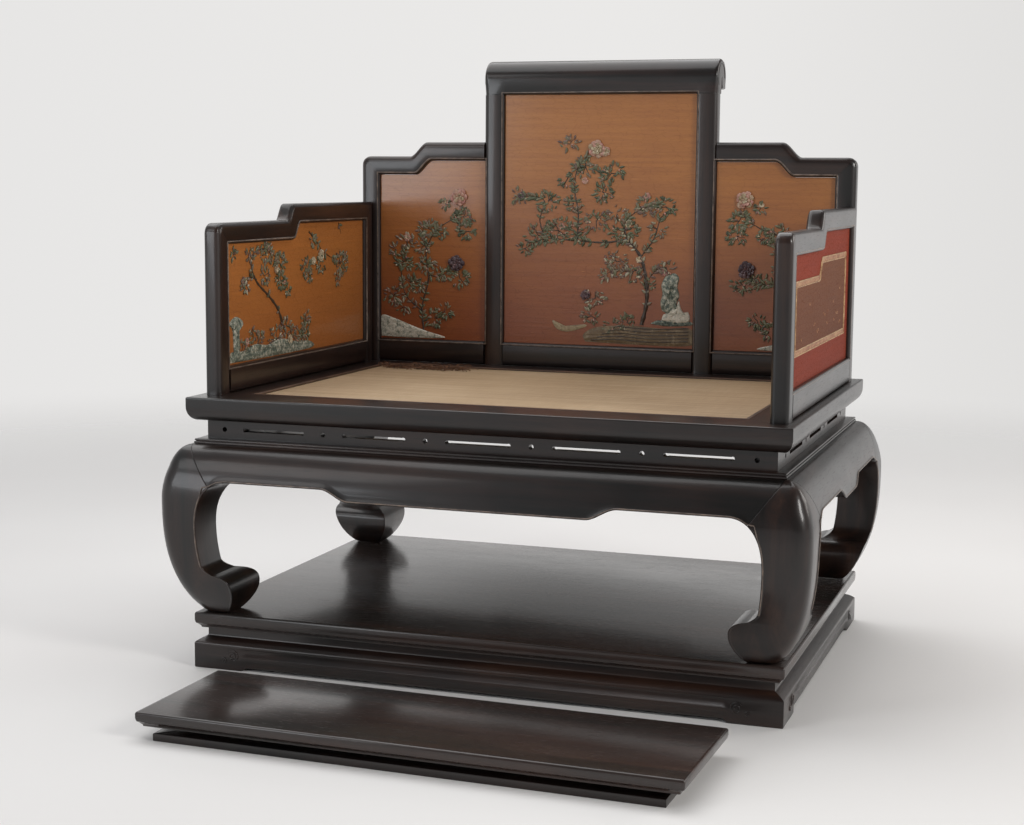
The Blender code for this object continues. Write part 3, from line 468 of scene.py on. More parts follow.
worked_piece("footrest_board", edged_board(
    REST_HALF, rest_low.z, rest_high.z, on_rest), table_wood, ["footrest_top"])
strip_half = [half - inset for half, inset in zip(REST_HALF, STRIP_INSET)]
strip = eased([
    (0.0, 0.0, 0.0015), (0.0, 0.014, 0.002), (0.038, 0.014), (0.038, 0.0237),
    (0.070, 0.0237), (0.070, 0.0)], 3)
for side in SIDES:
    body = mitred(side, strip_half, strip, 0.0)
    for corner in body.verts:
        corner.co = on_rest(*corner.co)
    worked_piece("footrest_strip_" + side, body, wood[GRAIN[side]], ["footrest_base_" + side])


# The four legs are square in section and bulge out below the seat before they curl in to a
# toe that stands on the platform. The outer corner is well rounded, and a bead runs down the
# edges that face the openings. Each is one heavy baulk, carried on up inside the waist.

moulding_low, moulding_high = map(Vector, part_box("waist_moulding_front"))
floor_z = board_high.z
LEG_HEIGHT = moulding_low.z - floor_z
MOULDING_HALF = (0.5985, 0.4215)
FORWARD = 0.016
seat_y = middle_y - FORWARD
BULGE, BULGE_HEIGHT, FOOT_TUCK = 0.0565, 0.238, 0.0125
INNER, TOE_REACH = 0.031, 0.095
ARCH_SPRING, ARCH_TOP, ARCH_WIDTH, ARCH_POWER = 0.185, 0.2795, 0.067, 2.3
MITRE_HEIGHT = 0.267
LOBE_DROP, HIGH_RUN, SLOPE_RUN = 0.022, 0.202, 0.061
BEAD_WIDTH, BEAD_RISE = 0.005, 0.0012
TOE_HEIGHT, TOE_TOP, SOLE_REACH, ANKLE, INSTEP = 0.055, 0.088, 0.066, 0.041, 0.058
COVE, SWELL, CORNER_ROUND = 0.017, 0.010, 0.036
POST_CORNER, POST_SIZE, POST_HEAD = (0.560, 0.383), 0.066, 0.047


def bulge_at(height):
    """How far the face of leg and apron stands out from the moulding's edge."""
    if height >= BULGE_HEIGHT:
        share = (height - BULGE_HEIGHT) / (LEG_HEIGHT - BULGE_HEIGHT)
        return BULGE * math.sqrt(max(0.0, 1 - share ** 1.9))
    share = min(1.0, (BULGE_HEIGHT - height) / BULGE_HEIGHT)
    return BULGE - (BULGE + FOOT_TUCK) * (1 - (1 - share ** 2.6) ** 0.75)


def arch_inset(height):
    """How far in from the moulding's edge the opening's rounded corner lies."""
    share = (height - ARCH_SPRING) / (ARCH_TOP - ARCH_SPRING)
    return INNER + ARCH_WIDTH * (1 - (1 - min(1.0, share) ** ARCH_POWER) ** (1 / ARCH_POWER))


def leg_levels():
    """Height, inner offset, outer offset and size of the bead, from the sole to the shoulder."""
    levels = []
    for i in range(12):
        t = i / 12
        curl = math.sin(t * math.pi / 2) ** 0.85
        levels.append((t * TOE_HEIGHT, SOLE_REACH + (TOE_REACH - SOLE_REACH) * curl))
    for i in range(13):
        angle = math.pi / 2 * i / 12
        run = max(0.0, math.cos(angle)) ** 0.75
        reach_in = max(INSTEP, ANKLE + (TOE_REACH - ANKLE) * run)
        levels.append((TOE_HEIGHT + (TOE_TOP - TOE_HEIGHT) * math.sin(angle) ** 0.75, reach_in))
    for i in range(1, 19):
        t = (i / 18) ** 1.6
        cove = COVE * max(0.0, 1 - t * 5) ** 2
        levels.append((TOE_TOP + (ARCH_SPRING - TOE_TOP) * t, INNER + SWELL * (1 - t) ** 2 + cove))
    for i in range(1, 13):
        height = ARCH_SPRING + (MITRE_HEIGHT - ARCH_SPRING) * math.sin(math.pi / 2 * i / 12)
        levels.append((height, arch_inset(height)))
    levels = [(height, inner, bulge_at(height), 1.0) for height, inner in levels]
    corner = arch_inset(MITRE_HEIGHT)
    for i in range(18):
        share = math.sin(math.pi / 2 * i / 17) * 0.9985 + 0.0002
        height = MITRE_HEIGHT + (LEG_HEIGHT - MITRE_HEIGHT) * share
        levels.append((height, corner * (1 - share), bulge_at(height), 0.0))
    return levels


def leg_ring(height, inner, outer, bead):
    """The leg's section at one level, as offsets from the corner of the moulding."""
    size = inner + outer
    edge = outer + BEAD_RISE * bead
    wide = min(BEAD_WIDTH, size * 0.3)
    soft = min(0.002, size * 0.1)
    round_off = min(CORNER_ROUND, size * 0.52)
    return eased([
        (-inner, -inner, soft), (edge, -inner, soft), (edge, -inner + wide * 0.75, soft * 0.6),
        (outer, -inner + wide, soft * 0.4), (outer, outer, round_off),
        (-inner + wide, outer, soft * 0.4), (-inner + wide * 0.75, edge, soft * 0.6),
        (-inner, edge, soft)], 6)


post_outline = eased([(0, 0, 0.003), (POST_SIZE, 0, 0.003), (POST_SIZE, POST_SIZE, 0.003),
                      (0, POST_SIZE, 0.003)], 2)
for end, sy in (("front", -1), ("back", 1)):
    for hand, sx in (("left", -1), ("right", 1)):
        rings = []
        for height, inner, outer, bead in leg_levels():
            z = floor_z + CLEARANCE + height * (1 - CLEARANCE / LEG_HEIGHT)
            rings.append([
                Vector((sx * (MOULDING_HALF[0] + u), sy * (MOULDING_HALF[1] + v) + seat_y, z))
                for u, v in leg_ring(height, inner, outer, bead)])
        name = f"leg_{end}_{hand}"
        worked_piece("curled_" + name, skin(rings), wood["z"], [name], corner=38)
        post = [[Vector((sx * (POST_CORNER[0] - u), sy * (POST_CORNER[1] - v) + seat_y, z))
                 for u, v in post_outline]
                for z in (floor_z + ARCH_TOP, moulding_low.z + POST_HEAD - CLEARANCE)]
        worked_piece(f"post_over_{name}", skin(post), wood["z"])


# An apron runs between the legs on each side and carries on their bulge. It hangs lower
# across the middle, steps up in an easy curve, and is mitred to the legs' shoulders. The same
# bead follows its lower edge. Tongues hold it to the moulding above.

def low_run_end(length):
    """How far from an apron's middle its edge has climbed to the higher level."""
    return length - INNER - ARCH_WIDTH - HIGH_RUN


def edge_height(distance, length):
    """The height of an apron's lower edge, so far from its middle."""
    inner = length - distance
    climbed = low_run_end(length)
    if distance <= climbed - SLOPE_RUN:
        return ARCH_TOP - LOBE_DROP
    if distance < climbed:
        t = (distance - climbed + SLOPE_RUN) / SLOPE_RUN
        return ARCH_TOP - LOBE_DROP * (1 - t * t * (3 - 2 * t))
    if inner <= arch_inset(MITRE_HEIGHT):
        return MITRE_HEIGHT
    if inner >= INNER + ARCH_WIDTH:
        return ARCH_TOP
    share = 1 - (inner - INNER) / ARCH_WIDTH
    return ARCH_SPRING + (ARCH_TOP - ARCH_SPRING) * (1 - share ** ARCH_POWER) ** (1 / ARCH_POWER)


def cut_off(body, point, facing):
    """Saw away what lies beyond a plane, and close the cut."""
    whole = body.verts[:] + body.edges[:] + body.faces[:]
    cut = bmesh.ops.bisect_plane(
        body, geom=whole, dist=1e-7, plane_co=point, plane_no=facing, clear_outer=True)
    edges = [item for item in cut["geom_cut"] if isinstance(item, bmesh.types.BMEdge)]
    bmesh.ops.edgeloop_fill(body, edges=edges)


DOWN_THE_FACE = (0.01, 0.035, 0.075, 0.13, 0.2, 0.3, 0.42, 0.56, 0.7, 0.85, 1.0)
APRON_THICK = 0.036
shoulder = arch_inset(MITRE_HEIGHT)
arch_run = INNER + ARCH_WIDTH - shoulder
lean = Vector((LEG_HEIGHT - MITRE_HEIGHT, -shoulder)).normalized()
for side in SIDES:
    length, breadth = half_lengths(side, MOULDING_HALF)
    stations = [low_run_end(length) - SLOPE_RUN + SLOPE_RUN * i / 12 for i in range(13)]
    stations += [length - INNER - ARCH_WIDTH + arch_run * i / 8 for i in range(9)]
    stations.append(length)
    stations = [-at for at in reversed(stations)] + stations
    rings = []
    for at in stations:
        edge = edge_height(abs(at), length)
        bead_top = edge + BEAD_WIDTH
        section = [(-APRON_THICK, LEG_HEIGHT), (0.0, LEG_HEIGHT)]
        for share in DOWN_THE_FACE:
            height = LEG_HEIGHT + (bead_top - LEG_HEIGHT) * share
            section.append((bulge_at(height), height))
        bead_face = bulge_at(edge) + BEAD_RISE
        section += [(bulge_at(bead_top) + BEAD_RISE * 0.8, bead_top - BEAD_WIDTH * 0.25),
                    (bead_face, bead_top - BEAD_WIDTH * 0.45), (bead_face, edge + 0.0012),
                    (bead_face - 0.0012, edge), (0.0, edge)]
        rings.append([
            on_side(side, at, breadth + out, min(moulding_low.z - CLEARANCE, floor_z + height), seat_y)
            for out, height in section])
    body = skin(rings)
    for end in (-1, 1):
        corner = on_side(side, end * (length - CLEARANCE * 1.5), breadth, moulding_low.z, seat_y)
        along = on_side(side, end, 0, 0, 0.0)
        out = on_side(side, 0, 1, 0, 0.0)
        cut_off(body, corner, along * lean.x + Vector((0, 0, lean.y)))
        cut_off(body, corner, (along - out).normalized())
    worked_piece("bulging_apron_" + side, body, wood[GRAIN[side]], ["apron_" + side], corner=38)


def mottled(name, scale, stops, rough, relief, detail=4.0, broken=0.6, drawn=None, fixed=None):
    """A plain finish. One fine pattern varies its colour, its sheen and its height."""
    finish = Finish(name)
    pattern = finish.noise(finish.stretched(drawn) if drawn else finish.place, scale, detail, broken)
    return finish.give(finish.ramp(pattern, *stops), rough + pattern * 0.2, pattern * relief, fixed)


ABOVE_THE_TOE, BELOW_THE_ARCH, BEAD_INSET = 30, ARCH_SPRING + 0.06, 0.0026
# The opening beads are painted pale: a painted highlight along each bead.
bead_wood_with_painted_highlight = mottled("rubbed_bead_wood", 60.0, (
    (0.32, (0.060, 0.045, 0.037)), (0.52, (0.15, 0.115, 0.095)), (0.72, (0.25, 0.185, 0.140))),
    0.24, 0.0002)
for side in SIDES:
    length, breadth = half_lengths(side, MOULDING_HALF)
    half = [(length - inner, height) for height, inner, _, bead in leg_levels()[ABOVE_THE_TOE:]
            if bead and height < BELOW_THE_ARCH]
    climbed = low_run_end(length)
    arch_start = arch_inset(half[-1][1])
    for i in range(1, 9):
        at = length - arch_start - (INNER + ARCH_WIDTH - arch_start) * i / 8
        half.append((at, edge_height(at, length)))
    half += [(at, edge_height(at, length)) for at in (climbed - SLOPE_RUN * i / 10 for i in range(11))]
    path = [Vector(p) for p in half] + [Vector((-x, z)) for x, z in reversed(half)]
    line = []
    for i, here in enumerate(path):
        way = (path[min(i + 1, len(path) - 1)] - path[max(i - 1, 0)]).normalized()
        spot = here + Vector((way.y, -way.x)) * BEAD_INSET
        out = breadth + bulge_at(spot.y) + BEAD_RISE - 0.0002
        line.append(on_side(side, spot.x, out, floor_z + spot.y, seat_y))
    beads("opening_bead_" + side, [(line, False)], 0.0013, bead_wood_with_painted_highlight)


# Over the aprons lies a thin stepped moulding, and on it the waist: four upright boards,
# mitred round the heads of the legs, and pierced with long slots and small round holes by turns.

SEAT_HALF = (0.610, 0.433)


def four_members(piece, node, profile, surface=None):
    """The mitred members of one profile on the four sides of the seat."""
    for side in SIDES:
        worked_piece(f"{piece}_{side}", mitred(side, SEAT_HALF, profile, seat_y),
                     surface or wood[GRAIN[side]], [f"{node}_{side}"])


low, high = moulding_low.z, moulding_high.z
four_members("stepped_moulding", "waist_moulding", eased([
    (0.0115, low, 0.001), (0.0115, low + 0.0042, 0.0012), (0.0145, low + 0.0046, 0.0004),
    (0.0145, low + 0.0056, 0.0004), (0.0125, low + 0.0060, 0.001), (0.0125, high, 0.0016),
    (0.050, high), (0.050, low)], 3))

bench, given = recipe_tree("pierced_board", {"Thickness": "Float", "Finish": "Material"})
outline = bench.node("GeometryNodeMeshToCurve", {}, {0: given["Lines"]})
face = bench.node("GeometryNodeFillCurve", {"mode": "TRIANGLES"}, {"Curve": outline})
drop = bench.node("ShaderNodeCombineXYZ", {}, {"Z": given["Thickness"] * -1})
back = bench.node("GeometryNodeTransform", {}, {"Geometry": face, "Translation": drop})
walls = bench.node("GeometryNodeExtrudeMesh", {"mode": "FACES"},
                   {"Mesh": back, "Offset Scale": given["Thickness"], "Individual": False})
rear = bench.node("GeometryNodeFlipFaces", {}, {"Mesh": back})
whole = bench.node("GeometryNodeJoinGeometry", {}, {0: walls})
bench.tree.links.new(whole.socket.node.inputs[0], rear.socket)
solid = bench.node("GeometryNodeMergeByDistance", {}, {"Geometry": whole, "Distance": 0.00001})
pierced_recipe = close_recipe(bench, solid, given["Finish"])


def board_from(name, outlines, thickness, place, surface, nodes=()):
    """A flat board sawn to its outlines, holes among them, then set up where it belongs."""
    mesh = bpy.data.meshes.new(name + "_outline")
    points, edges = [], []
    for outline in outlines:
        first, count = len(points), len(outline)
        points += [(point[0], point[1], 0.0) for point in outline]
        edges += [(first + i, first + (i + 1) % count) for i in range(count)]
    mesh.from_pydata(points, edges, [])
    made = shaped(name, mesh, pierced_recipe, {"Thickness": thickness, "Finish": surface}, place)
    made.set_sharp_from_angle(angle=math.radians(30))
    mounted(name, made, surface, nodes)


def rounded_slot(centre, half, height, lobe):
    """A long slot that swells to a small round at each end."""
    spread = math.asin(height / 2 / lobe)
    points = []
    for end, start in ((1, -math.pi + spread), (-1, spread)):
        for k in range(13):
            angle = start + (2 * math.pi - 2 * spread) * k / 12
            points.append((centre + end * (half - lobe) + lobe * math.cos(angle), lobe * math.sin(angle)))
    return points


WAIST_TALL, WAIST_THICK, WAIST_INSET = 0.0369, 0.018, 0.032
SLOT_HALF, SLOT_HEIGHT, SLOT_LOBE, HOLE = 0.067, 0.0066, 0.0040, 0.005
SLOTS = {"front": (5, 0.038), "right": (3, 0.077), "back": (5, 0.038), "left": (3, 0.077)}
waist_middle = moulding_high.z + CLEARANCE + WAIST_TALL / 2
for side in SIDES:
    length, breadth = half_lengths(side, [half - WAIST_INSET for half in SEAT_HALF])
    count, margin = SLOTS[side]
    pitch = 2 * (length - margin) / count
    end, edge = length - CLEARANCE, WAIST_TALL / 2
    outlines = [[(-end, -edge), (end, -edge), (end, edge), (-end, edge)]]
    outlines += [rounded_slot((i - (count - 1) / 2) * pitch, SLOT_HALF, SLOT_HEIGHT, SLOT_LOBE)
                 for i in range(count)]
    outlines += [[((i - count / 2) * pitch + HOLE * math.cos(k * math.pi / 6),
                   HOLE * math.sin(k * math.pi / 6)) for k in range(12)] for i in range(count + 1)]

    def set_up(along, up, out, side=side, end=end, breadth=breadth):
        """Stand the board on its side of the waist, with its ends mitred."""
        limit = end + out
        return on_side(side, max(-limit, min(limit, along)), breadth + out, waist_middle + up, seat_y)

    board_from("pierced_waist_" + side, outlines, WAIST_THICK, set_up, wood[GRAIN[side]],
               ["waist_" + side])


# The seat is a mitred frame whose edge is square above and falls away below in a long curve.
# It carries a woven cane mat over a rebate, and thin brown strips, pinned, cover the mat's edge.

seat_low, seat_high = map(Vector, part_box("seat_frame_front"))
seat_top, seat_bottom = seat_high.z, seat_low.z
SEAT_MEMBER, REBATE, REBATE_DEEP, FALL = 0.108, 0.009, 0.003, 0.019
profile = [Vector((FALL, seat_bottom))]
for k in range(1, 13):
    angle = math.pi / 2 * k / 12
    profile.append(Vector((
        FALL * (1 - math.sin(angle)),
        seat_top - FALL - (seat_top - FALL - seat_bottom) * math.cos(angle))))
ledge = seat_top - REBATE_DEEP
profile += eased([
    (0.0, seat_top - 0.006), (0.0, seat_top, 0.0045), (SEAT_MEMBER - REBATE, seat_top, 0.001),
    (SEAT_MEMBER - REBATE, ledge), (SEAT_MEMBER, ledge), (SEAT_MEMBER, seat_bottom)], 5)
four_members("seat_frame_member", "seat_frame", profile)

strip_wood = mottled("brown_strip_wood", 90.0, (
    (0.3, (0.045, 0.022, 0.013)), (0.7, (0.13, 0.07, 0.04))), 0.42, 0.0003, drawn=(0.1, 0.1, 1.0))
near = SEAT_MEMBER - REBATE + CLEARANCE
far = near + REBATE
foot = ledge + CLEARANCE
four_members("pinned_strip", "mat_strip", eased([
    (near, foot), (near, seat_top, 0.0015), (far, seat_top, 0.0025), (far, foot)], 4),
    strip_wood)

cane_finish = Finish("woven_split_cane")
STRAND = 0.0024
across, ahead = cane_finish.part("X"), cane_finish.part("Y")
over, under = ((way * (math.pi / STRAND)).wave() for way in (across, ahead))
weave = (over * under) * 0.5 + 0.5
age = cane_finish.noise(cane_finish.place, 3.0, 5.0, 0.6)
bands = cane_finish.noise(cane_finish.stretched((0.35, 14.0, 1.0)), 6.0, 4.0, 0.65)
threads = cane_finish.noise(cane_finish.stretched((1.0, 0.04, 1.0)), 320.0, 2.0, 0.5)
base = cane_finish.ramp(age * 0.5 + bands * 0.5, (0.34, (0.37, 0.250, 0.140)),
                        (0.52, (0.50, 0.360, 0.215)), (0.66, (0.60, 0.460, 0.305)))
cane_colour = cane_finish.blend((threads - 0.3).held() * 0.5, base, (0.27, 0.17, 0.09))
# Where one strand dips under another the colour is darkened: painted shade in the weave's hollows.
cane_colour = cane_finish.blend(weave.rising(0.75, 0.1) * 0.35, cane_colour, (0.20, 0.12, 0.06))
cane = cane_finish.give(cane_colour, 0.52 + weave * 0.2, weave * 0.0005 + bands * 0.0006)
mat_low, mat_high = map(Vector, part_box("cane_mat"))
MAT_THICK, SAG = 0.0022, 0.0016
mat = bmesh.new()
columns, rows = 84, 56
layers = []
for layer in (0, 1):
    grid = []
    for j in range(rows + 1):
        for i in range(columns + 1):
            u, v = i / columns, j / rows
            edge = min(1.0, 5 * min(u, 1 - u, v, 1 - v))
            sag = SAG * (math.sin(math.pi * u) * math.sin(math.pi * v)) ** 0.7
            ripple = 0.0004 * edge * math.sin(19 * u + 3 * math.sin(7 * v)) * math.sin(11 * v + 2)
            height = mat_high.z - layer * MAT_THICK - sag + ripple
            grid.append(mat.verts.new((mat_low.x + (mat_high.x - mat_low.x) * u,
                                       mat_low.y + (mat_high.y - mat_low.y) * v, height)))
    layers.append(grid)
wide = columns + 1
for layer, grid in enumerate(layers):
    for j in range(rows):
        for i in range(columns):
            face = (grid[j * wide + i], grid[j * wide + i + 1],
                    grid[(j + 1) * wide + i + 1], grid[(j + 1) * wide + i])
            mat.faces.new(face if layer == 0 else face[::-1])
border = [*range(wide), *(j * wide + columns for j in range(1, rows + 1)),
          *(rows * wide + i for i in range(columns - 1, -1, -1)),
          *(j * wide for j in range(rows - 1, 0, -1))]
for a, b in zip(border, border[1:] + border[:1]):
    mat.faces.new((layers[1][a], layers[1][b], layers[0][b], layers[0][a]))
cane_mat = worked_piece("woven_cane_mat", mat, cane, ["cane_mat"])

# At the back left corner the old weave has given way, and its broken strands stand up in a
# brown tangle.

straw = mottled("broken_cane_strands", 160.0, (
    (0.35, (0.055, 0.024, 0.012)), (0.65, (0.20, 0.095, 0.045))), 0.6, 0.0002, detail=3.0)
chance = random.Random(7)
strands = []
for k in range(150):
    start = Vector((mat_low.x + 0.02 + chance.random() * 0.19,
                    mat_high.y - 0.010 - chance.random() * 0.055, mat_high.z + 0.0008))
    heading = chance.uniform(-0.5, 0.5) + (math.pi if k % 3 == 0 else 0.0)
    reach = chance.uniform(0.012, 0.045)
    lift = chance.uniform(0.001, 0.011)
    points = []
    for i in range(7):
        t = i / 6
        points.append(start + Vector((
            math.cos(heading) * reach * t, math.sin(heading) * reach * t + 0.003 * math.sin(5 * t + k),
            lift * math.sin(math.pi * t) + 0.0006 * math.cos(9 * t + k))))
    points = [Vector((min(max(p.x, mat_low.x + 0.002), mat_high.x), min(p.y, mat_high.y - 0.001), p.z))
              for p in points]
    strands.append((points, False))
beads("broken_strands", strands, 0.0009, straw)


# Each arm is a frame of four members, lower in front, with its top rail stepping up near the
# middle. The members are cushioned in section and stand on the seat. Posts and top rail are
# mitred, and the bottom rail lies between the posts. A bead runs round both faces, painted pale
# as its highlight.

CROWN, RAIL, SILL = 0.0014, 0.043, 0.055
BEAD_REACH, BEAD_DEEP, BEAD_HALF = 0.0052, 0.0016, 0.0021


def cushioned(node, stations, place, width, depth, surface):
    """A frame member, from stations of (outer point, inner point) along it."""
    section = eased([(0.0, 0.0, 0.012), (width, 0.0, 0.009), (width, depth, 0.006),
                     (0.0, depth, 0.010)], 6)
    rings = []
    for outer, inner in stations:
        outer, inner = Vector(outer), Vector(inner)
        ring = []
        for across, deep in section:
            share = across / width
            if deep < 0.004:
                deep += CROWN * (2 * share - 1) ** 2
            s, t = outer + (inner - outer) * share
            ring.append(place(s, t, deep))
        rings.append(ring)
    worked_piece(f"{node}_cushioned", skin(rings), surface, [node], corner=40)


def frame_members(name, parts, frame, rail_grain, post_width, place, depth):
    """The members of a stepped frame: its posts, its top rail and its bottom rail."""
    for part, stations in zip(parts, frame):
        if part:
            grain = wood["z" if "post" in part else rail_grain]
            width = {"top_rail": RAIL, "bottom_rail": SILL - CLEARANCE}.get(part, post_width)
            cushioned(f"{name}_{part}", stations, place, width, depth, grain)


def easy_step(start, end, steps=16):
    """The S-shaped step between the two levels of a top rail."""
    return [(start[0] + (end[0] - start[0]) * t, start[1] + (end[1] - start[1]) * t * t * (3 - 2 * t))
            for t in (i / steps for i in range(steps + 1))]


def stepped_frame(low, high, step, run, lag, end, near, far_post):
    """Stations of a stepped frame's members, and the outline of its opening.

    Its top steps from low to high at step, over run, and lag later along the opening. The near
    post is as wide as near, and the frame ends at end, in a post or against the next frame.
    """
    soft, gap = 0.020, 0.00045
    corner = [(soft + soft * math.cos(math.radians(a)), low - soft + soft * math.sin(math.radians(a)))
              for a in range(180, 89, -9)]
    under_low, under_high = low - RAIL, high - RAIL
    post = [((0.0, CLEARANCE), (near, CLEARANCE)), ((0.0, under_low), (near, under_low - 0.012))]
    post += [(point, (near, under_low)) for point in corner[:6]]
    top = [((s + gap, t), (near + gap, under_low)) for s, t in corner[5:]]
    top.append(((near + 0.012, low), (near + 0.010, under_low)))
    outer_step = easy_step((step, low), (step + run, high))
    inner_step = easy_step((step + lag, under_low), (step + run + lag, under_high))
    top += list(zip(outer_step, inner_step))
    if far_post:
        edge = end - RAIL
        top.append(((end - gap, high), (edge - gap, under_high)))
        far = [((end, CLEARANCE), (edge, CLEARANCE)), ((end, high), (edge, under_high))]
    else:
        edge, far = end, None
        top.append(((end, high), (end, under_high)))
    bottom = [((near + CLEARANCE, CLEARANCE), (near + CLEARANCE, SILL)),
              ((edge - CLEARANCE, CLEARANCE), (edge - CLEARANCE, SILL))]
    opening = [(near, SILL), (near, under_low)] + inner_step + [(edge, under_high), (edge, SILL)]
    return post, top, far, bottom, opening


def shrunk(outline, by):
    """An outline moved in on itself all round, or out where by is less than nothing."""
    moved = []
    count = len(outline)
    for i, point in enumerate(outline):
        here = Vector(point)
        back = (here - Vector(outline[i - 1])).normalized()
        ahead = (Vector(outline[(i + 1) % count]) - here).normalized()
        across = (Vector((back.y, -back.x)) + Vector((ahead.y, -ahead.x))).normalized()
        spread = max(0.5, across.dot(Vector((ahead.y, -ahead.x))))
        moved.append(tuple(here + across * by / spread))
    return moved


def opening_beads(name, faces, opening, place, depth):
    """The beads that lie on a frame, round its opening, one on each face, painted pale as a highlight."""
    for face, deep in zip(faces, (BEAD_DEEP, depth - BEAD_DEEP)):
        line = [place(s, t, deep) for s, t in shrunk(opening, -BEAD_REACH)]
        beads(f"{name}_{face}_opening_bead", [(line, True)], BEAD_HALF, bead_wood_with_painted_highlight)


arm_low, arm_high = map(Vector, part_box("right_arm_front_post"))
arm_end = Vector(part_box("right_arm_rear_post")[1])
ARM_THICK, PANEL_THICK = 0.036, 0.016
ARM_LOW, ARM_HIGH, ARM_STEP, ARM_RUN, ARM_LAG = 0.345, 0.380, 0.314, 0.032, 0.030
*arm_frame, arm_opening = stepped_frame(
    ARM_LOW, ARM_HIGH, ARM_STEP, ARM_RUN, ARM_LAG, arm_end.y - arm_low.y, RAIL, True)
arm_places = {}
for hand, sign in (("left", -1), ("right", 1)):
    def on_arm(s, t, deep, sign=sign):
        """A point of one arm: back along it, up from the seat, and out through it."""
        return Vector((sign * (arm_high.x - ARM_THICK + deep), arm_low.y + s, seat_top + t))

    arm_places[hand] = on_arm
    frame_members(f"{hand}_arm", ("front_post", "top_rail", "rear_post", "bottom_rail"), arm_frame,
                  "y", RAIL, on_arm, ARM_THICK)
    opening_beads(f"{hand}_arm", ("inner", "outer"), arm_opening, on_arm, ARM_THICK)


# The back has two stepped side bays like the arms, and between them a tall centre bay between
# two stiles. Its heavy top rail is rolled over backwards to a hooked lip.

stile_low, stile_high = map(Vector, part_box("back_right_stile"))
outer_high = Vector(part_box("back_right_outer_post")[1])
back_face = stile_low.y
back_half, stile_outer, stile_inner = outer_high.x, stile_high.x, stile_low.x
BACK_THICK, OUTER_POST, STILE = 0.037, 0.046, 0.048
BAY_LOW, BAY_HIGH, BAY_STEP, BAY_RUN, BAY_LAG = 0.488, 0.521, 0.122, 0.044, 0.014
CENTRE_TOP, CREST_TOP, CREST_ROUND = 0.629, 0.707, 0.042
*bay_frame, bay_opening = stepped_frame(
    BAY_LOW, BAY_HIGH, BAY_STEP, BAY_RUN, BAY_LAG, back_half - stile_outer - CLEARANCE, OUTER_POST, False)


def on_back(s, t, deep):
    """A point of the back: across from its middle, up from the seat, and back through it."""
    return Vector((s, back_face + deep, seat_top + t))


bay_places = {}
for hand, sign in (("left", -1), ("right", 1)):
    def on_bay(s, t, deep, sign=sign):
        """A point of one side bay, in from its outer edge."""
        return on_back(sign * (back_half - s), t, deep)

    bay_places[hand] = on_bay
    frame_members(f"back_{hand}", ("outer_post", "top_rail", None, "bottom_rail"), bay_frame,
                  "x", OUTER_POST, on_bay, BACK_THICK)
    stile = [((sign * stile_outer, t), (sign * stile_inner, t))
             for t in (CLEARANCE, CENTRE_TOP - CLEARANCE)]
    cushioned(f"back_{hand}_stile", stile, on_back, STILE, BACK_THICK, wood["z"])
    opening_beads(f"back_{hand}", ("front", "rear"), bay_opening, on_bay, BACK_THICK)

reach = stile_inner - CLEARANCE
cushioned("back_centre_bottom_rail",
          [((side * reach, CLEARANCE), (side * reach, SILL)) for side in (-1, 1)],
          on_back, SILL - CLEARANCE, BACK_THICK, wood["x"])
centre_opening = [(-reach, SILL), (-reach, CENTRE_TOP), (reach, CENTRE_TOP), (reach, SILL)]
opening_beads("back_centre", ("front", "rear"), centre_opening, on_back, BACK_THICK)


def turned_line(deep, t, radius, start, end, step):
    """Points round a centre in the crest's section, from one angle in degrees to another."""
    return [(deep + radius * math.cos(math.radians(a)), t + radius * math.sin(math.radians(a)))
            for a in range(start, end, step)]


LIP_DROP, HOOK_ROUND = 0.067, 0.005
roll_height = CREST_TOP - CREST_ROUND
lip = CREST_TOP - LIP_DROP
roll = [(0.0, CENTRE_TOP), (0.0, CENTRE_TOP + 0.0015), (0.0, CENTRE_TOP + 0.0050)]
roll += turned_line(CREST_ROUND, roll_height, CREST_ROUND, 180, -1, -5)
roll += eased([(2 * CREST_ROUND - 0.003, lip + 0.010), (2 * CREST_ROUND - 0.004, lip, 0.0035),
               (BACK_THICK + 0.014, lip, 0.004), (BACK_THICK + 0.010, lip + 0.012)], 5)
roll += turned_line(BACK_THICK + HOOK_ROUND, roll_height, HOOK_ROUND, 0, 181, 20)
roll.append((BACK_THICK, CENTRE_TOP))
FACE_POINTS, EASED_POINTS = 3, 26
HOLLOW_FOOT = (0.0055, 0.0018, 0.0)
middle_of_roll = Vector((CREST_ROUND, roll_height))
half_stations = [stile_outer - back for back in (0.0, 0.0005, 0.0016, 0.0034, 0.0060, 0.0090, 0.0120)]
half_stations += [stile_inner + 0.0015, stile_inner - 0.0015]
rings = []
for s in [-half for half in half_stations] + half_stations[::-1]:
    left_over = stile_outer - abs(s)
    within = abs(s) < stile_inner
    ring = []
    for order, (deep, t) in enumerate(roll):
        soft = 0.012 if order < FACE_POINTS else 0.006
        inset = soft - math.sqrt(max(0.0, soft * soft - max(0.0, soft - left_over) ** 2))
        if order < FACE_POINTS:
            crown = CROWN * max(0.0, 1 - 2 * left_over / STILE) ** 2
            ring.append(on_back(s, t, inset + crown + HOLLOW_FOOT[order] * within))
            continue
        pull = middle_of_roll - Vector((deep, t))
        inset = inset if order < EASED_POINTS else min(inset, 0.0025)
        pull = pull * min(1.0, inset / max(pull.length, 1e-6)) if t > CENTRE_TOP + 0.001 else pull * 0
        ring.append(on_back(s, t + pull.y, deep + pull.x))
    rings.append(ring)
worked_piece("rolled_crest", skin(rings), hardwood("hardwood_of_the_crest", "x", 0.35, 0.24),
             ["back_crest"], corner=40)
curls = []
for sign in (-1, 1):
    curl = []
    for k in range(15):
        angle = math.radians(210 - k * 15)
        size = CREST_ROUND - 0.007 - k * 0.0004
        curl.append(on_back(sign * (stile_outer + 0.0001), roll_height + size * math.sin(angle),
                            CREST_ROUND + size * math.cos(angle)))
    curls.append((curl, False))
beads("crest_end_curls", curls, 0.0010, wood["x"])
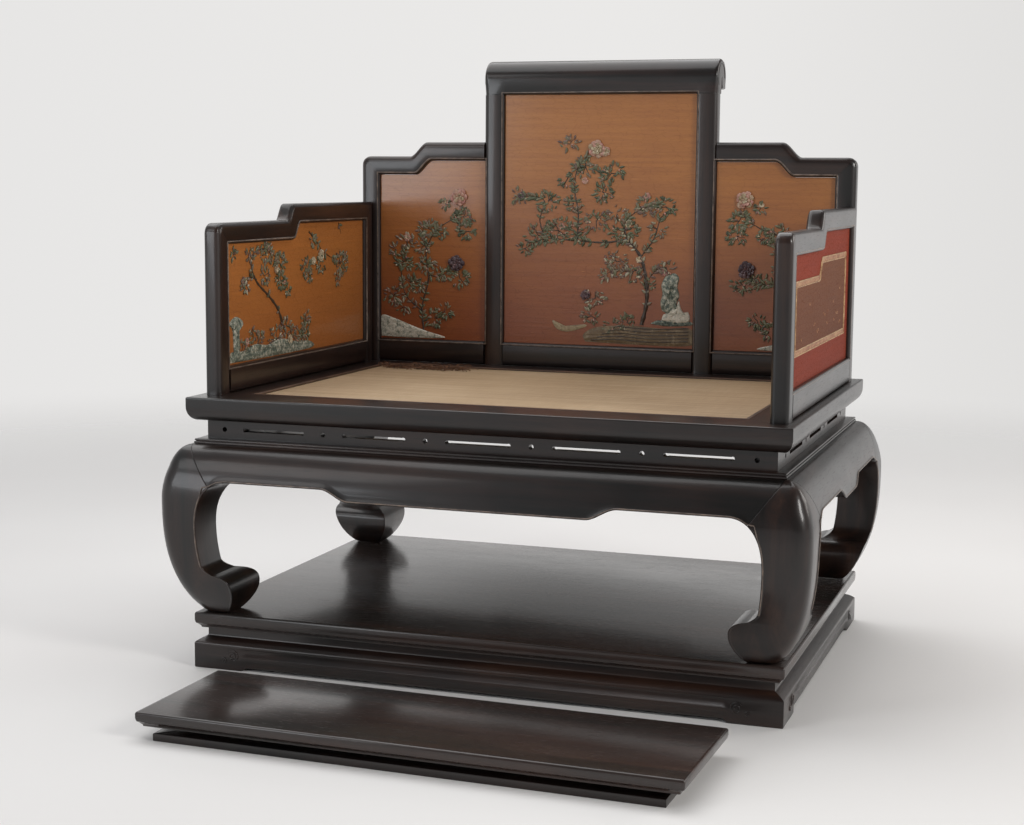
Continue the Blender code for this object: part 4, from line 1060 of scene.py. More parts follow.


# The panels are boards under many coats of ochre lacquer, laid in fine level ripples that have
# crazed with age. The colour runs darker and redder towards the foot; the darkening is painted
# shade. Each fills the opening of its frame, a hair smaller than it.

def lacquer(name, upper, lower, low, high, coat=0.60, rough=0.36, specular=0.5):
    """Old lacquer over a board, from its lower to its upper colour, crazed and rippled. A darker lower
    colour paints shade towards the foot.
    """
    finish = Finish(name)
    height = finish.part("Z")
    share = height.rising(low, high)
    cloud = finish.noise(finish.place, 5.0, 5.0, 0.6, 0.4)
    ripples = finish.noise(finish.stretched((2.2, 2.2, 60.0)), 2.6, 5.0, 0.62, 0.3)
    fine = finish.noise(finish.stretched((8.0, 8.0, 150.0)), 4.0, 3.0, 0.5)
    net = finish.cracks(finish.stretched((24.0, 24.0, 85.0)), 1.6)
    crack = 1 - net.rising(0.012, 0.05)
    chips = finish.noise(finish.stretched((9.0, 9.0, 120.0)), 2.0, 3.0, 0.5).rising(0.69, 0.76)
    # Towards the foot the body takes the darker lower colour: painted shade.
    body = finish.blend((share + (cloud - 0.5) * 0.7).held(), lower, upper)
    dim = tuple(value * 0.62 for value in lower)
    body = finish.blend(((ripples - 0.38) * 1.5).held() * 0.55, body, dim)
    body = finish.blend(crack * 0.28 * ripples, body, (0.05, 0.02, 0.010))
    glow = tuple(min(1.0, value * 1.35 + 0.02) for value in upper)
    body = finish.blend(chips * 0.55, body, glow)
    relief = ripples * 0.0006 + fine * 0.00018 - crack * 0.00010
    roughness = rough + cloud * 0.14 + crack * 0.15
    return finish.give(body, roughness, relief, {
        "Coat Weight": coat, "Coat Roughness": 0.15, "Specular IOR Level": specular})


def right_handed(place):
    """Whether along, up and inward make a right-handed set on a panel."""
    along, up, inward = (place(*way) - place(0, 0, 0) for way in ((1, 0, 0), (0, 1, 0), (0, 0, 1)))
    return along.cross(up).dot(inward) > 0


def panel_layer(name, outline, place, deep, thick, surface, nodes=()):
    """A board or a coat of a panel, cut to an outline, with its near face so deep in the frame."""
    right = right_handed(place)

    def lay(s, t, out):
        return place(s, t, deep + (thick + out if right else -out))

    board_from(name, [outline], thick, lay, surface, nodes)


# Both panel lacquers are painted darker towards the foot as shade, and are redder there.
back_lacquer = lacquer("ochre_lacquer_of_the_back", (0.395, 0.147, 0.026), (0.228, 0.053, 0.010),
                       seat_top + 0.03, seat_top + 0.52)
arm_lacquer = lacquer("ochre_lacquer_of_the_arms", (0.440, 0.155, 0.030), (0.340, 0.110, 0.022),
                      seat_top + 0.02, seat_top + 0.30)
SHRINKAGE = 0.0003
back_deep, arm_deep = (BACK_THICK - PANEL_THICK) / 2, (ARM_THICK - PANEL_THICK) / 2
centre_board, bay_board, arm_board = (
    shrunk(opening, SHRINKAGE) for opening in (centre_opening, bay_opening, arm_opening))
panel_layer("back_centre_lacquer_board", centre_board, on_back, back_deep, PANEL_THICK,
            back_lacquer, ["back_centre_panel"])
for hand, place in bay_places.items():
    panel_layer(f"back_{hand}_lacquer_board", bay_board, place, back_deep, PANEL_THICK,
                back_lacquer, [f"back_{hand}_panel"])
for hand, place in arm_places.items():
    panel_layer(f"{hand}_arm_lacquer_board", arm_board, place, arm_deep, PANEL_THICK,
                arm_lacquer, [f"{hand}_arm_panel"])


# The arms' outer faces are red lacquer with a stepped gold band between two raised lines, and a
# browner field with faint sprigs inside it. The rear faces of the back are plainer: dark red
# lacquer with one gold line. The coats lie one on another over the panels' boards.

gold = mottled("rubbed_gold_lines", 90.0, (
    (0.30, (0.20, 0.075, 0.035)), (0.48, (0.45, 0.27, 0.13)), (0.70, (0.66, 0.47, 0.27))),
    0.38, 0.0003, broken=0.65, fixed={"Metallic": 0.35})
dusting = Finish("gold_dusted_lacquer")
dust = dusting.noise(dusting.place, 240.0, 3.0, 0.7)
thin = dusting.noise(dusting.place, 30.0, 4.0, 0.6)
gold_ground = dusting.give(
    dusting.ramp(dust * 0.5 + thin * 0.5, (0.38, (0.20, 0.055, 0.025)), (0.50, (0.36, 0.17, 0.08)),
                 (0.62, (0.50, 0.32, 0.17))),
    0.42 + dust * 0.2, dust * 0.0002, {"Specular IOR Level": 0.25})
red_lacquer = lacquer("red_lacquer_of_the_outer_faces", (0.245, 0.036, 0.015), (0.215, 0.036, 0.018),
                      seat_top + 0.02, seat_top + 0.30, coat=0.0, rough=0.55, specular=0.08)
field_lacquer = lacquer("brown_gold_lacquer_field", (0.165, 0.056, 0.022), (0.130, 0.042, 0.018),
                        seat_top + 0.05, seat_top + 0.30, coat=0.0, rough=0.52, specular=0.10)
rear_lacquer = lacquer("plain_lacquer_of_the_rear", (0.17, 0.034, 0.018), (0.12, 0.026, 0.015),
                       seat_top + 0.05, seat_top + 0.50, coat=0.10, rough=0.42, specular=0.35)


def stepped_line(near, far, foot, low, high, step, run):
    """A border that steps up as its frame does, with eased corners."""
    return eased([(near, foot, 0.003), (far, foot, 0.003), (far, high, 0.003), (step + run, high, 0.010),
                  (step, low, 0.010), (near, low, 0.003)], 5)


LINE_GAP, LINE_HALF, GROUND_COAT, UPPER_COAT = 0.0105, 0.0012, 0.0008, 0.0004
BORDER_NEAR, BORDER_FAR, BORDER_FOOT, BORDER_TOP = 0.040, 0.046, 0.058, 0.050
arm_face = arm_deep + PANEL_THICK
near, far = arm_opening[0][0], arm_opening[-1][0]
band, field = (
    stepped_line(near + BORDER_NEAR + gap, far - BORDER_FAR - gap, SILL + BORDER_FOOT + gap,
                 ARM_LOW - RAIL - BORDER_TOP - gap, ARM_HIGH - RAIL - BORDER_TOP - gap,
                 0.350 + gap * 0.5, 0.020) for gap in (0.0, LINE_GAP))
for hand, place in arm_places.items():
    panel_layer(f"{hand}_arm_outer_lacquer", arm_board, place, arm_face, GROUND_COAT, red_lacquer)
    panel_layer(f"{hand}_arm_gold_band", band, place, arm_face + GROUND_COAT, UPPER_COAT, gold_ground)
    panel_layer(f"{hand}_arm_outer_field", field, place, arm_face + GROUND_COAT + UPPER_COAT,
                UPPER_COAT, field_lacquer)
    lines = [([place(s, t, arm_face + 0.0014) for s, t in ring], True) for ring in (band, field)]
    beads(f"{hand}_arm_gold_lines", lines, LINE_HALF, gold)
    marks = []
    chance = random.Random(5 + len(hand))
    for k in range(16):
        s = chance.uniform(near + 0.09, far - 0.12)
        t = chance.uniform(SILL + 0.085, ARM_LOW - RAIL - 0.085)
        long = chance.uniform(0.008, 0.024)
        marks.append(([place(s + long * u, t + 0.003 * math.sin(6 * u + k), arm_face + 0.0016)
                       for u in (0.0, 0.25, 0.5, 0.75, 1.0)], False, [0.4, 0.9, 1.0, 0.8, 0.4]))
    beads(f"{hand}_arm_faint_gold_sprigs", marks, 0.0008, gold_ground)

rear_face = back_deep + PANEL_THICK
CENTRE_SIDE, CENTRE_END, BAY_SIDE, BAY_TOP = 0.030, 0.035, 0.026, 0.032
side_edge, foot_edge, top_edge = reach - CENTRE_SIDE, SILL + CENTRE_END, CENTRE_TOP - CENTRE_END
centre_border = eased([(-side_edge, foot_edge, 0.003), (side_edge, foot_edge, 0.003),
                       (side_edge, top_edge, 0.003), (-side_edge, top_edge, 0.003)], 4)
bay_border = stepped_line(bay_opening[0][0] + BAY_SIDE, bay_opening[-1][0] - BAY_SIDE, foot_edge,
                          BAY_LOW - RAIL - BAY_TOP, BAY_HIGH - RAIL - BAY_TOP, 0.140, 0.040)
for name, place, outline, border in (
        ("back_centre", on_back, shrunk(centre_opening[::-1], SHRINKAGE), centre_border),
        ("back_left", bay_places["left"], bay_board, bay_border),
        ("back_right", bay_places["right"], bay_board, bay_border)):
    panel_layer(f"{name}_rear_lacquer", outline, place, rear_face, GROUND_COAT, rear_lacquer)
    beads(f"{name}_rear_gold_line", [([place(s, t, rear_face + 0.0009) for s, t in border], True)],
          LINE_HALF, gold)


# The pictures are inlaid in carved soapstone, shell and stained horn: a flowering tree over a
# bank with a garden rock in the centre, peonies above a rock slope at each side, and old trees
# over rockeries on the arms. Each leaf and petal is a small carved chip set on the lacquer.

bench, given = recipe_tree("chips_at_points", {"Chip": "Object", "Finish": "Material"})
chip = bench.node("GeometryNodeObjectInfo", {}, {"Object": given["Chip"]}, "Geometry")
turn, size, tilt = (bench.node("GeometryNodeInputNamedAttribute", {"data_type": "FLOAT"}, {"Name": word})
                    for word in ("turn", "size", "tilt"))
spin = bench.node("ShaderNodeCombineXYZ", {}, {"Y": tilt, "Z": turn})
grow = bench.node("ShaderNodeCombineXYZ", {}, {"X": size, "Y": size, "Z": size})
laid = bench.node("GeometryNodeInstanceOnPoints", {},
                  {"Points": given["Lines"], "Instance": chip, "Rotation": spin, "Scale": grow})
chip_recipe = close_recipe(bench, laid, given["Finish"])


def stone(name, *tints, shine=0.34, grain=0.12, fineness=70.0):
    """Carved stone and shell. Each chip has its own tint, and is clouded and nicked."""
    finish = Finish(name)
    tint = finish.node("ShaderNodeAttribute", {"attribute_name": "tint"}, {}, "Fac")
    cloud = finish.noise(finish.place, fineness, 5.0, 0.7, 0.6)
    veins = finish.noise(finish.stretched((60.0, 60.0, 110.0)), 3.0, 3.0, 0.6, 0.8)
    base = finish.ramp((tint + (cloud - 0.5) * (grain * 2.2)).held(), *tints)
    colour = finish.blend(veins.rising(0.5, 0.75) * 0.45, base, (0.55, 0.52, 0.44), "MULTIPLY")
    return finish.give(colour, shine + cloud * 0.25, cloud * (0.0004 + grain * 0.0016) + veins * 0.0003,
                       {"Coat Weight": 0.25, "Coat Roughness": 0.2})


leaf_stone = stone(
    "stained_leaf_chips", (0.0, (0.046, 0.056, 0.028)), (0.22, (0.100, 0.114, 0.060)),
    (0.42, (0.165, 0.165, 0.098)), (0.58, (0.180, 0.120, 0.080)), (0.70, (0.120, 0.070, 0.060)),
    (0.82, (0.255, 0.245, 0.170)), (1.0, (0.45, 0.42, 0.31)))
petal_stone = stone(
    "soapstone_petals", (0.0, (0.050, 0.030, 0.040)), (0.25, (0.12, 0.075, 0.085)),
    (0.5, (0.38, 0.16, 0.13)), (0.72, (0.50, 0.28, 0.22)), (0.86, (0.36, 0.27, 0.16)),
    (1.0, (0.55, 0.47, 0.33)))
rock_stone = stone(
    "grey_green_rock_stone", (0.0, (0.040, 0.062, 0.050)), (0.30, (0.085, 0.115, 0.092)),
    (0.55, (0.22, 0.245, 0.195)), (0.8, (0.48, 0.47, 0.39)), (1.0, (0.64, 0.61, 0.52)),
    grain=1.3, fineness=125.0)
earth_stone = stone(
    "brown_bank_and_bark", (0.0, (0.035, 0.022, 0.014)), (0.4, (0.085, 0.052, 0.024)),
    (0.7, (0.150, 0.100, 0.045)), (1.0, (0.36, 0.29, 0.18)), grain=0.5)


def chip_shape(name, half, ridge, cup=0.0):
    """One carved chip of unit length, closed below, as the pattern that the recipe repeats."""
    outline = [(0, 0), *((x, -y) for x, y in half), (1.0, 0.0), *half[::-1]]
    body = bmesh.new()
    foot = [body.verts.new((x, y, -0.10)) for x, y in outline]
    rim = [body.verts.new((x, y, 0.02 + cup * (x * x + 2.5 * y * y))) for x, y in outline]
    spine = [body.verts.new(point) for point in ridge]
    count = len(outline)
    body.faces.new(foot[::-1])
    for i in range(count):
        j = (i + 1) % count
        body.faces.new((foot[i], foot[j], rim[j], rim[i]))
        near = [min(spine, key=lambda v, k=k: (v.co.x - outline[k][0]) ** 2) for k in (i, j)]
        if near[0] is near[1]:
            body.faces.new((rim[i], rim[j], near[0]))
        else:
            body.faces.new((rim[i], rim[j], near[1], near[0]))
    bmesh.ops.recalc_face_normals(body, faces=body.faces)
    mesh = bpy.data.meshes.new(name)
    body.to_mesh(mesh)
    body.free()
    pattern = bpy.data.objects.new(name, mesh)
    bpy.context.scene.collection.objects.link(pattern)
    return pattern


leaf_chip = chip_shape(
    "leaf_chip", ((0.25, 0.17), (0.55, 0.21), (0.82, 0.11)),
    [(0.05, 0, 0.05), (0.50, 0, 0.13), (0.95, 0, 0.04)])
petal_chip = chip_shape(
    "petal_chip", ((0.35, 0.20), (0.72, 0.34), (0.95, 0.22)),
    [(0.05, 0, 0.02), (0.55, 0, 0.04), (0.90, 0, 0.10)], 0.10)


def scattered(name, chips, pattern, place, surface):
    """Chips laid out on a panel. A chip is (s, t, rise, turn, size, tilt, tint)."""
    mesh = bpy.data.meshes.new(name + "_points")
    mesh.from_pydata([chip[:3] for chip in chips], [], [])
    for order, word in ((3, "turn"), (4, "size"), (5, "tilt"), (6, "tint")):
        mesh.attributes.new(word, "FLOAT", "POINT").data.foreach_set("value", [c[order] for c in chips])
    made = shaped(name, mesh, chip_recipe, {"Chip": pattern, "Finish": surface}, place)
    if not right_handed(place):
        made.flip_normals()
    mounted(name, made, surface)


def smooth_line(points, steps=8):
    """A smooth line through a few points."""
    ends = [points[0]] + list(points) + [points[-1]]
    line = []
    for i in range(1, len(ends) - 2):
        a, b, c, d = (Vector(p) for p in ends[i - 1:i + 3])
        for k in range(steps):
            t = k / steps
            line.append(0.5 * (2 * b + (c - a) * t + (2 * a - 5 * b + 4 * c - d) * t * t
                               + (3 * b - a - 3 * c + d) * t ** 3))
    line.append(Vector(points[-1]))
    return line


def limited(value):
    """A value kept between 0 and 1."""
    return min(1.0, max(0.0, value))


class Picture:
    """The figures of one panel. Places are shares of the opening's width and height."""

    def __init__(self, name, opening, place, deep, seed):
        self.name, self.chance = name, random.Random(seed)
        first, foot = opening[0]
        self.width, self.height = opening[-1][0] - first, opening[-2][1] - foot
        self.place = lambda s, t, out: place(s + first, t + foot, deep - out)
        self.leaves, self.petals, self.stems, self.rocks = [], [], [], []

    def at(self, s, t):
        """The place in metres, from the lower near corner of the opening."""
        return Vector((s * self.width, t * self.height))

    def bough(self, points, thick, leaves=0.0, tint=0.3, size=0.014, thin=0.35, raised=0.0):
        """A stem, thick to thin, with leaves along it by turns."""
        line = smooth_line([self.at(*point) for point in points])
        wander = self.chance.random() * 6
        widths = [thick * (1 - (1 - thin) * i / len(line)) * (1 + 0.22 * math.sin(i * 1.7 + wander))
                  for i in range(len(line))]
        self.stems.append(([Vector((p.x, p.y, raised)) for p in line], False, widths))
        if not leaves:
            return
        for here, ahead in zip(line[2:], line[3:]):
            if self.chance.random() < leaves:
                heading = math.atan2(ahead.y - here.y, ahead.x - here.x)
                for side in (-1, 1):
                    self.leaf(here, heading + side * self.chance.uniform(0.5, 1.3), tint, size)

    def leaf(self, at, heading, tint, size):
        """One leaf, a little varied in its lift, length, tilt and tint."""
        self.leaves.append((at.x, at.y, self.chance.uniform(0.0008, 0.0016), heading,
                            size * self.chance.uniform(0.75, 1.2), self.chance.uniform(-0.14, 0.02),
                            limited(tint + self.chance.gauss(0, 0.17))))

    def spray(self, s, t, reach, count, tint=0.3, size=0.014, squash=0.75):
        """A clump of leaves that point outwards from its middle, with a few twigs."""
        centre = self.at(s, t)
        for k in range(round(count * 1.55)):
            angle = self.chance.uniform(0, 2 * math.pi)
            far = reach * math.sqrt(self.chance.random())
            spot = centre + Vector((far * math.cos(angle), far * math.sin(angle) * squash))
            self.leaf(spot, angle + self.chance.gauss(0, 0.7), tint, size * 0.86)
            if k % 6 == 0:
                self.petals.append((spot.x, spot.y, 0.0016, angle, size * 0.42, -0.1,
                                    limited(self.chance.gauss(0.72, 0.22))))
        for k in range(max(2, count // 9)):
            angle = self.chance.uniform(0, 2 * math.pi)
            tip = centre + Vector((math.cos(angle), math.sin(angle) * squash)) * reach * 0.9
            twig = [at.to_3d() for at in (centre, (centre + tip) / 2, tip)]
            self.stems.append((twig, False, [1.1, 0.9, 0.6]))

    def blossom(self, s, t, size, tint, rings=3):
        """A many-petalled flower, its rings of petals rising to the heart."""
        centre = self.at(s, t)
        for ring in range(rings):
            count = 9 - 2 * ring
            long = size * (1 - 0.30 * ring)
            for k in range(count):
                angle = 2 * math.pi * (k + 0.5 * ring) / count + self.chance.gauss(0, 0.08)
                self.petals.append((
                    centre.x, centre.y, 0.0010 + 0.0011 * ring, angle,
                    long * self.chance.uniform(0.88, 1.08), -0.10 - 0.16 * ring,
                    limited(tint + 0.10 * ring + self.chance.gauss(0, 0.09))))

    def rock(self, outline, rise, tint, surface):
        """A carved rock or bank, domed from its outline, with a broken surface."""
        self.rocks.append(([self.at(*point) for point in outline], rise, tint, surface))

    def dome(self, outline, rise):
        """The body of a rock: rings that draw in as they rise, each roughened, round a heart."""
        centre = sum(outline, Vector((0, 0))) / len(outline)
        dense = smooth_line(outline + outline[:1], 6)[:-1]
        body = bmesh.new()
        rows = []
        for spread, height in ((1.0, -0.001), (1.0, 0.0008), (0.95, rise * 0.5), (0.86, rise * 0.74),
                               (0.74, rise * 0.85), (0.60, rise * 0.93), (0.44, rise),
                               (0.24, rise * 0.97)):
            row = []
            for point in dense:
                spot = centre + (point - centre) * spread
                rough = self.chance.uniform(-0.30, 0.16) if spread < 0.97 else 0.0
                row.append(body.verts.new(self.place(spot.x, spot.y, height + rise * rough)))
            rows.append(row)
        heart = body.verts.new(self.place(centre.x, centre.y, rise))
        count = len(dense)
        for low, high in zip(rows, rows[1:]):
            for k in range(count):
                j = (k + 1) % count
                body.faces.new((low[k], low[j], high[j], high[k]))
        for k in range(count):
            body.faces.new((rows[-1][k], rows[-1][(k + 1) % count], heart))
        body.faces.new(rows[0][::-1])
        return body

    def laid(self):
        """Make the pieces of the picture."""
        def flat(s, t, out):
            return self.place(s, t, max(-0.0010, out * 0.75))

        beads(self.name + "_stems", self.stems, 0.0011, earth_stone, flat)
        scattered(self.name + "_leaves", self.leaves, leaf_chip, self.place, leaf_stone)
        scattered(self.name + "_petals", self.petals, petal_chip, self.place, petal_stone)
        for order, (outline, rise, tint, surface) in enumerate(self.rocks):
            made = worked_piece(f"{self.name}_rock_{order}", self.dome(outline, rise), surface,
                                corner=50)
            tints = [limited(tint + self.chance.gauss(0, 0.05)) for _ in made.data.vertices]
            made.data.attributes.new("tint", "FLOAT", "POINT").data.foreach_set("value", tints)


centre = Picture("centre_picture", centre_opening, on_back, back_deep, 11)
centre.bough([(0.735, 0.09), (0.76, 0.18), (0.755, 0.27), (0.725, 0.36), (0.655, 0.43)],
             4.4, 0.25, 0.78, thin=0.6)
centre.bough([(0.655, 0.43), (0.54, 0.415), (0.39, 0.42), (0.22, 0.425), (0.11, 0.385)], 2.2, 0.5, 0.25)
centre.bough([(0.39, 0.42), (0.395, 0.53), (0.375, 0.62), (0.385, 0.70), (0.44, 0.76)], 2.0, 0.5, 0.3)
centre.bough([(0.22, 0.43), (0.19, 0.50), (0.215, 0.575), (0.15, 0.595), (0.06, 0.59)], 1.5, 0.5, 0.28)
centre.bough([(0.725, 0.36), (0.79, 0.43), (0.83, 0.52), (0.90, 0.56)], 1.7, 0.4, 0.3)
centre.bough([(0.655, 0.43), (0.64, 0.49), (0.70, 0.54), (0.77, 0.56)], 1.5, 0.5, 0.5)
centre.bough([(0.74, 0.32), (0.67, 0.30), (0.60, 0.31), (0.54, 0.285)], 1.4, 0.5, 0.55)
centre.bough([(0.755, 0.26), (0.81, 0.31), (0.87, 0.325)], 1.2, 0.4, 0.55)
for clump in (
        (0.345, 0.805, 0.020, 20, 0.6, 0.013), (0.43, 0.715, 0.026, 30, 0.35, 0.013),
        (0.565, 0.69, 0.026, 26, 0.22, 0.014), (0.52, 0.615, 0.024, 26, 0.22, 0.014),
        (0.33, 0.66, 0.018, 14, 0.2, 0.014), (0.37, 0.57, 0.018, 16, 0.3, 0.013),
        (0.235, 0.575, 0.026, 22, 0.3, 0.013), (0.08, 0.595, 0.018, 12, 0.5, 0.013),
        (0.29, 0.46, 0.034, 40, 0.3, 0.013), (0.18, 0.44, 0.028, 24, 0.35, 0.013),
        (0.11, 0.385, 0.016, 12, 0.3, 0.013), (0.385, 0.45, 0.026, 24, 0.3, 0.013),
        (0.49, 0.50, 0.026, 24, 0.45, 0.013), (0.60, 0.53, 0.022, 16, 0.62, 0.012),
        (0.64, 0.46, 0.034, 40, 0.25, 0.013), (0.76, 0.56, 0.028, 28, 0.55, 0.013),
        (0.85, 0.56, 0.026, 26, 0.25, 0.014), (0.81, 0.47, 0.020, 14, 0.5, 0.012),
        (0.60, 0.34, 0.026, 26, 0.62, 0.012), (0.55, 0.285, 0.018, 14, 0.66, 0.012),
        (0.68, 0.29, 0.024, 22, 0.6, 0.012), (0.86, 0.32, 0.018, 12, 0.6, 0.012),
        (0.77, 0.25, 0.014, 10, 0.3, 0.012), (0.49, 0.19, 0.024, 20, 0.66, 0.013),
        (0.47, 0.12, 0.020, 16, 0.55, 0.013), (0.66, 0.10, 0.020, 16, 0.3, 0.012),
        (0.58, 0.08, 0.018, 12, 0.35, 0.012)):
    centre.spray(*clump)
centre.blossom(0.49, 0.785, 0.020, 0.76)
centre.blossom(0.535, 0.775, 0.012, 0.78, 2)
centre.blossom(0.44, 0.205, 0.012, 0.15, 2)
for s, t, tint in ((0.09, 0.60, 0.2), (0.31, 0.475, 0.7), (0.72, 0.35, 0.95), (0.755, 0.60, 0.6),
                   (0.43, 0.66, 0.8), (0.66, 0.49, 0.85), (0.85, 0.30, 0.4)):
    centre.blossom(s, t, 0.008, tint, 1)
centre.rock([(0.840, 0.15), (0.832, 0.18), (0.842, 0.215), (0.836, 0.25), (0.855, 0.285),
             (0.880, 0.295), (0.905, 0.298), (0.925, 0.28), (0.918, 0.245), (0.928, 0.21),
             (0.915, 0.18), (0.92, 0.15), (0.88, 0.135)], 0.0044, 0.50, rock_stone)
centre.rock([(0.838, 0.112), (0.850, 0.135), (0.876, 0.140), (0.892, 0.158), (0.912, 0.160),
             (0.926, 0.190), (0.938, 0.160), (0.955, 0.142), (0.975, 0.146), (0.985, 0.120),
             (0.970, 0.104), (0.90, 0.10)], 0.0044, 0.98, rock_stone)
centre.rock([(0.780, 0.096), (0.82, 0.110), (0.88, 0.108), (0.985, 0.108), (0.99, 0.094), (0.87, 0.088)],
            0.0030, 0.30, rock_stone)
centre.rock([(0.44, 0.015), (0.43, 0.045), (0.50, 0.075), (0.66, 0.085), (0.84, 0.078), (0.99, 0.08),
             (0.995, 0.015), (0.70, 0.010)], 0.0022, 0.66, earth_stone)
centre.rock([(0.268, 0.098), (0.285, 0.078), (0.34, 0.068), (0.43, 0.084), (0.44, 0.074), (0.35, 0.053),
             (0.29, 0.062), (0.264, 0.090)], 0.0026, 1.0, earth_stone)
for k in range(5):
    low = 0.022 + 0.013 * k
    centre.bough([(0.47 + 0.03 * k, low), (0.62, low + 0.006), (0.78, low), (0.98, low + 0.007)],
                 1.1, 0, 0.96, thin=0.8, raised=0.0026)
centre.laid()

for hand, seed in (("left", 21), ("right", 22)):
    side = Picture(f"back_{hand}_picture", bay_opening, bay_places[hand], back_deep, seed)
    side.bough([(0.42, 0.03), (0.40, 0.18), (0.46, 0.34), (0.44, 0.50), (0.55, 0.62), (0.74, 0.70),
                (0.76, 0.78)], 2.0, 0.45, 0.35)
    side.bough([(0.40, 0.16), (0.24, 0.25), (0.20, 0.40), (0.26, 0.55)], 1.6, 0.5, 0.4)
    side.bough([(0.46, 0.36), (0.58, 0.36), (0.72, 0.41)], 1.4, 0.5, 0.35)
    side.bough([(0.44, 0.50), (0.40, 0.60), (0.47, 0.68)], 1.2, 0.5, 0.3)
    for clump in (
            (0.80, 0.69, 0.022, 30, 0.30, 0.014), (0.82, 0.61, 0.020, 22, 0.25, 0.014),
            (0.62, 0.76, 0.011, 10, 0.25, 0.013), (0.47, 0.62, 0.024, 26, 0.45, 0.014),
            (0.58, 0.60, 0.016, 12, 0.25, 0.013), (0.42, 0.53, 0.022, 18, 0.5, 0.013),
            (0.25, 0.55, 0.020, 16, 0.55, 0.013), (0.15, 0.50, 0.014, 10, 0.55, 0.013),
            (0.22, 0.43, 0.020, 18, 0.2, 0.015), (0.44, 0.42, 0.024, 22, 0.45, 0.013),
            (0.76, 0.35, 0.022, 24, 0.3, 0.014), (0.60, 0.37, 0.018, 14, 0.4, 0.013),
            (0.28, 0.32, 0.022, 18, 0.35, 0.014), (0.37, 0.30, 0.018, 14, 0.4, 0.013),
            (0.12, 0.24, 0.022, 20, 0.55, 0.013), (0.22, 0.18, 0.020, 14, 0.4, 0.013),
            (0.52, 0.12, 0.024, 24, 0.3, 0.014), (0.62, 0.16, 0.018, 14, 0.3, 0.013)):
        side.spray(*clump)
    side.blossom(0.755, 0.80, 0.021, 0.66)
    side.blossom(0.73, 0.43, 0.020, 0.02)
    side.blossom(0.26, 0.57, 0.009, 0.7, 2)
    side.blossom(0.61, 0.775, 0.006, 0.95, 1)
    side.rock([(0.005, 0.01), (0.005, 0.125), (0.12, 0.115), (0.30, 0.075), (0.45, 0.045), (0.62, 0.012),
               (0.30, 0.005)], 0.0044, 0.86, rock_stone)
    side.laid()

for hand, seed in (("left", 31), ("right", 32)):
    arm = Picture(f"{hand}_arm_picture", arm_opening, arm_places[hand], arm_deep, seed)
    arm.bough([(0.38, 0.20), (0.34, 0.36), (0.27, 0.48), (0.20, 0.58), (0.165, 0.70), (0.18, 0.80)],
              3.4, 0.12, 0.4, thin=0.5)
    arm.bough([(0.18, 0.80), (0.26, 0.82), (0.34, 0.74)], 1.8, 0.4, 0.4)
    arm.bough([(0.20, 0.60), (0.14, 0.62), (0.10, 0.56)], 1.4, 0.4, 0.6)
    arm.bough([(0.57, 0.93), (0.62, 0.86), (0.66, 0.78), (0.64, 0.70)], 2.0, 0.3, 0.4)
    arm.bough([(0.66, 0.78), (0.76, 0.70), (0.86, 0.66)], 1.3, 0.3, 0.4)
    arm.bough([(0.80, 0.99), (0.82, 0.90)], 1.4, 0.2, 0.4)
    for clump in (
            (0.27, 0.79, 0.026, 34, 0.45, 0.013), (0.36, 0.70, 0.026, 30, 0.32, 0.014),
            (0.36, 0.58, 0.020, 18, 0.25, 0.014), (0.25, 0.62, 0.022, 18, 0.45, 0.012),
            (0.12, 0.56, 0.020, 18, 0.64, 0.012), (0.16, 0.78, 0.018, 12, 0.55, 0.012),
            (0.41, 0.50, 0.014, 10, 0.2, 0.014), (0.55, 0.66, 0.026, 26, 0.35, 0.013),
            (0.66, 0.66, 0.022, 18, 0.3, 0.013), (0.82, 0.66, 0.034, 40, 0.55, 0.012),
            (0.79, 0.55, 0.018, 14, 0.55, 0.012), (0.60, 0.86, 0.018, 12, 0.35, 0.013),
            (0.56, 0.58, 0.018, 12, 0.55, 0.012), (0.05, 0.80, 0.012, 8, 0.25, 0.013),
            (0.20, 0.12, 0.034, 40, 0.6, 0.011), (0.33, 0.13, 0.036, 46, 0.62, 0.011),
            (0.10, 0.10, 0.022, 22, 0.5, 0.011), (0.45, 0.13, 0.030, 34, 0.55, 0.011),
            (0.40, 0.22, 0.022, 18, 0.66, 0.011), (0.54, 0.24, 0.020, 18, 0.4, 0.013),
            (0.53, 0.13, 0.020, 16, 0.3, 0.013), (0.17, 0.20, 0.014, 8, 0.66, 0.011)):
        arm.spray(*clump)
    arm.bough([(0.50, 0.05), (0.53, 0.18), (0.55, 0.33)], 1.3, 0.3, 0.4)
    arm.blossom(0.655, 0.735, 0.014, 0.98, 2)
    arm.blossom(0.60, 0.70, 0.010, 0.95, 2)
    arm.blossom(0.33, 0.66, 0.009, 0.85, 2)
    arm.blossom(0.42, 0.11, 0.011, 0.95, 2)
    arm.blossom(0.13, 0.15, 0.008, 0.6, 1)
    arm.rock([(0.02, 0.015), (0.03, 0.09), (0.10, 0.075), (0.18, 0.12), (0.27, 0.10), (0.36, 0.13),
              (0.46, 0.09), (0.57, 0.07), (0.58, 0.015), (0.30, 0.008)], 0.0036, 0.50, rock_stone)
    arm.rock([(0.045, 0.08), (0.040, 0.24), (0.020, 0.30), (0.060, 0.345), (0.105, 0.30), (0.080, 0.24),
              (0.080, 0.08)], 0.0042, 0.52, rock_stone)
    arm.laid()
for pattern in (leaf_chip, petal_chip):
    bpy.data.objects.remove(pattern)


# The room: a pale floor that fades into a pale backdrop on every side, soft light from above,
# and the camera where the photograph was taken from.

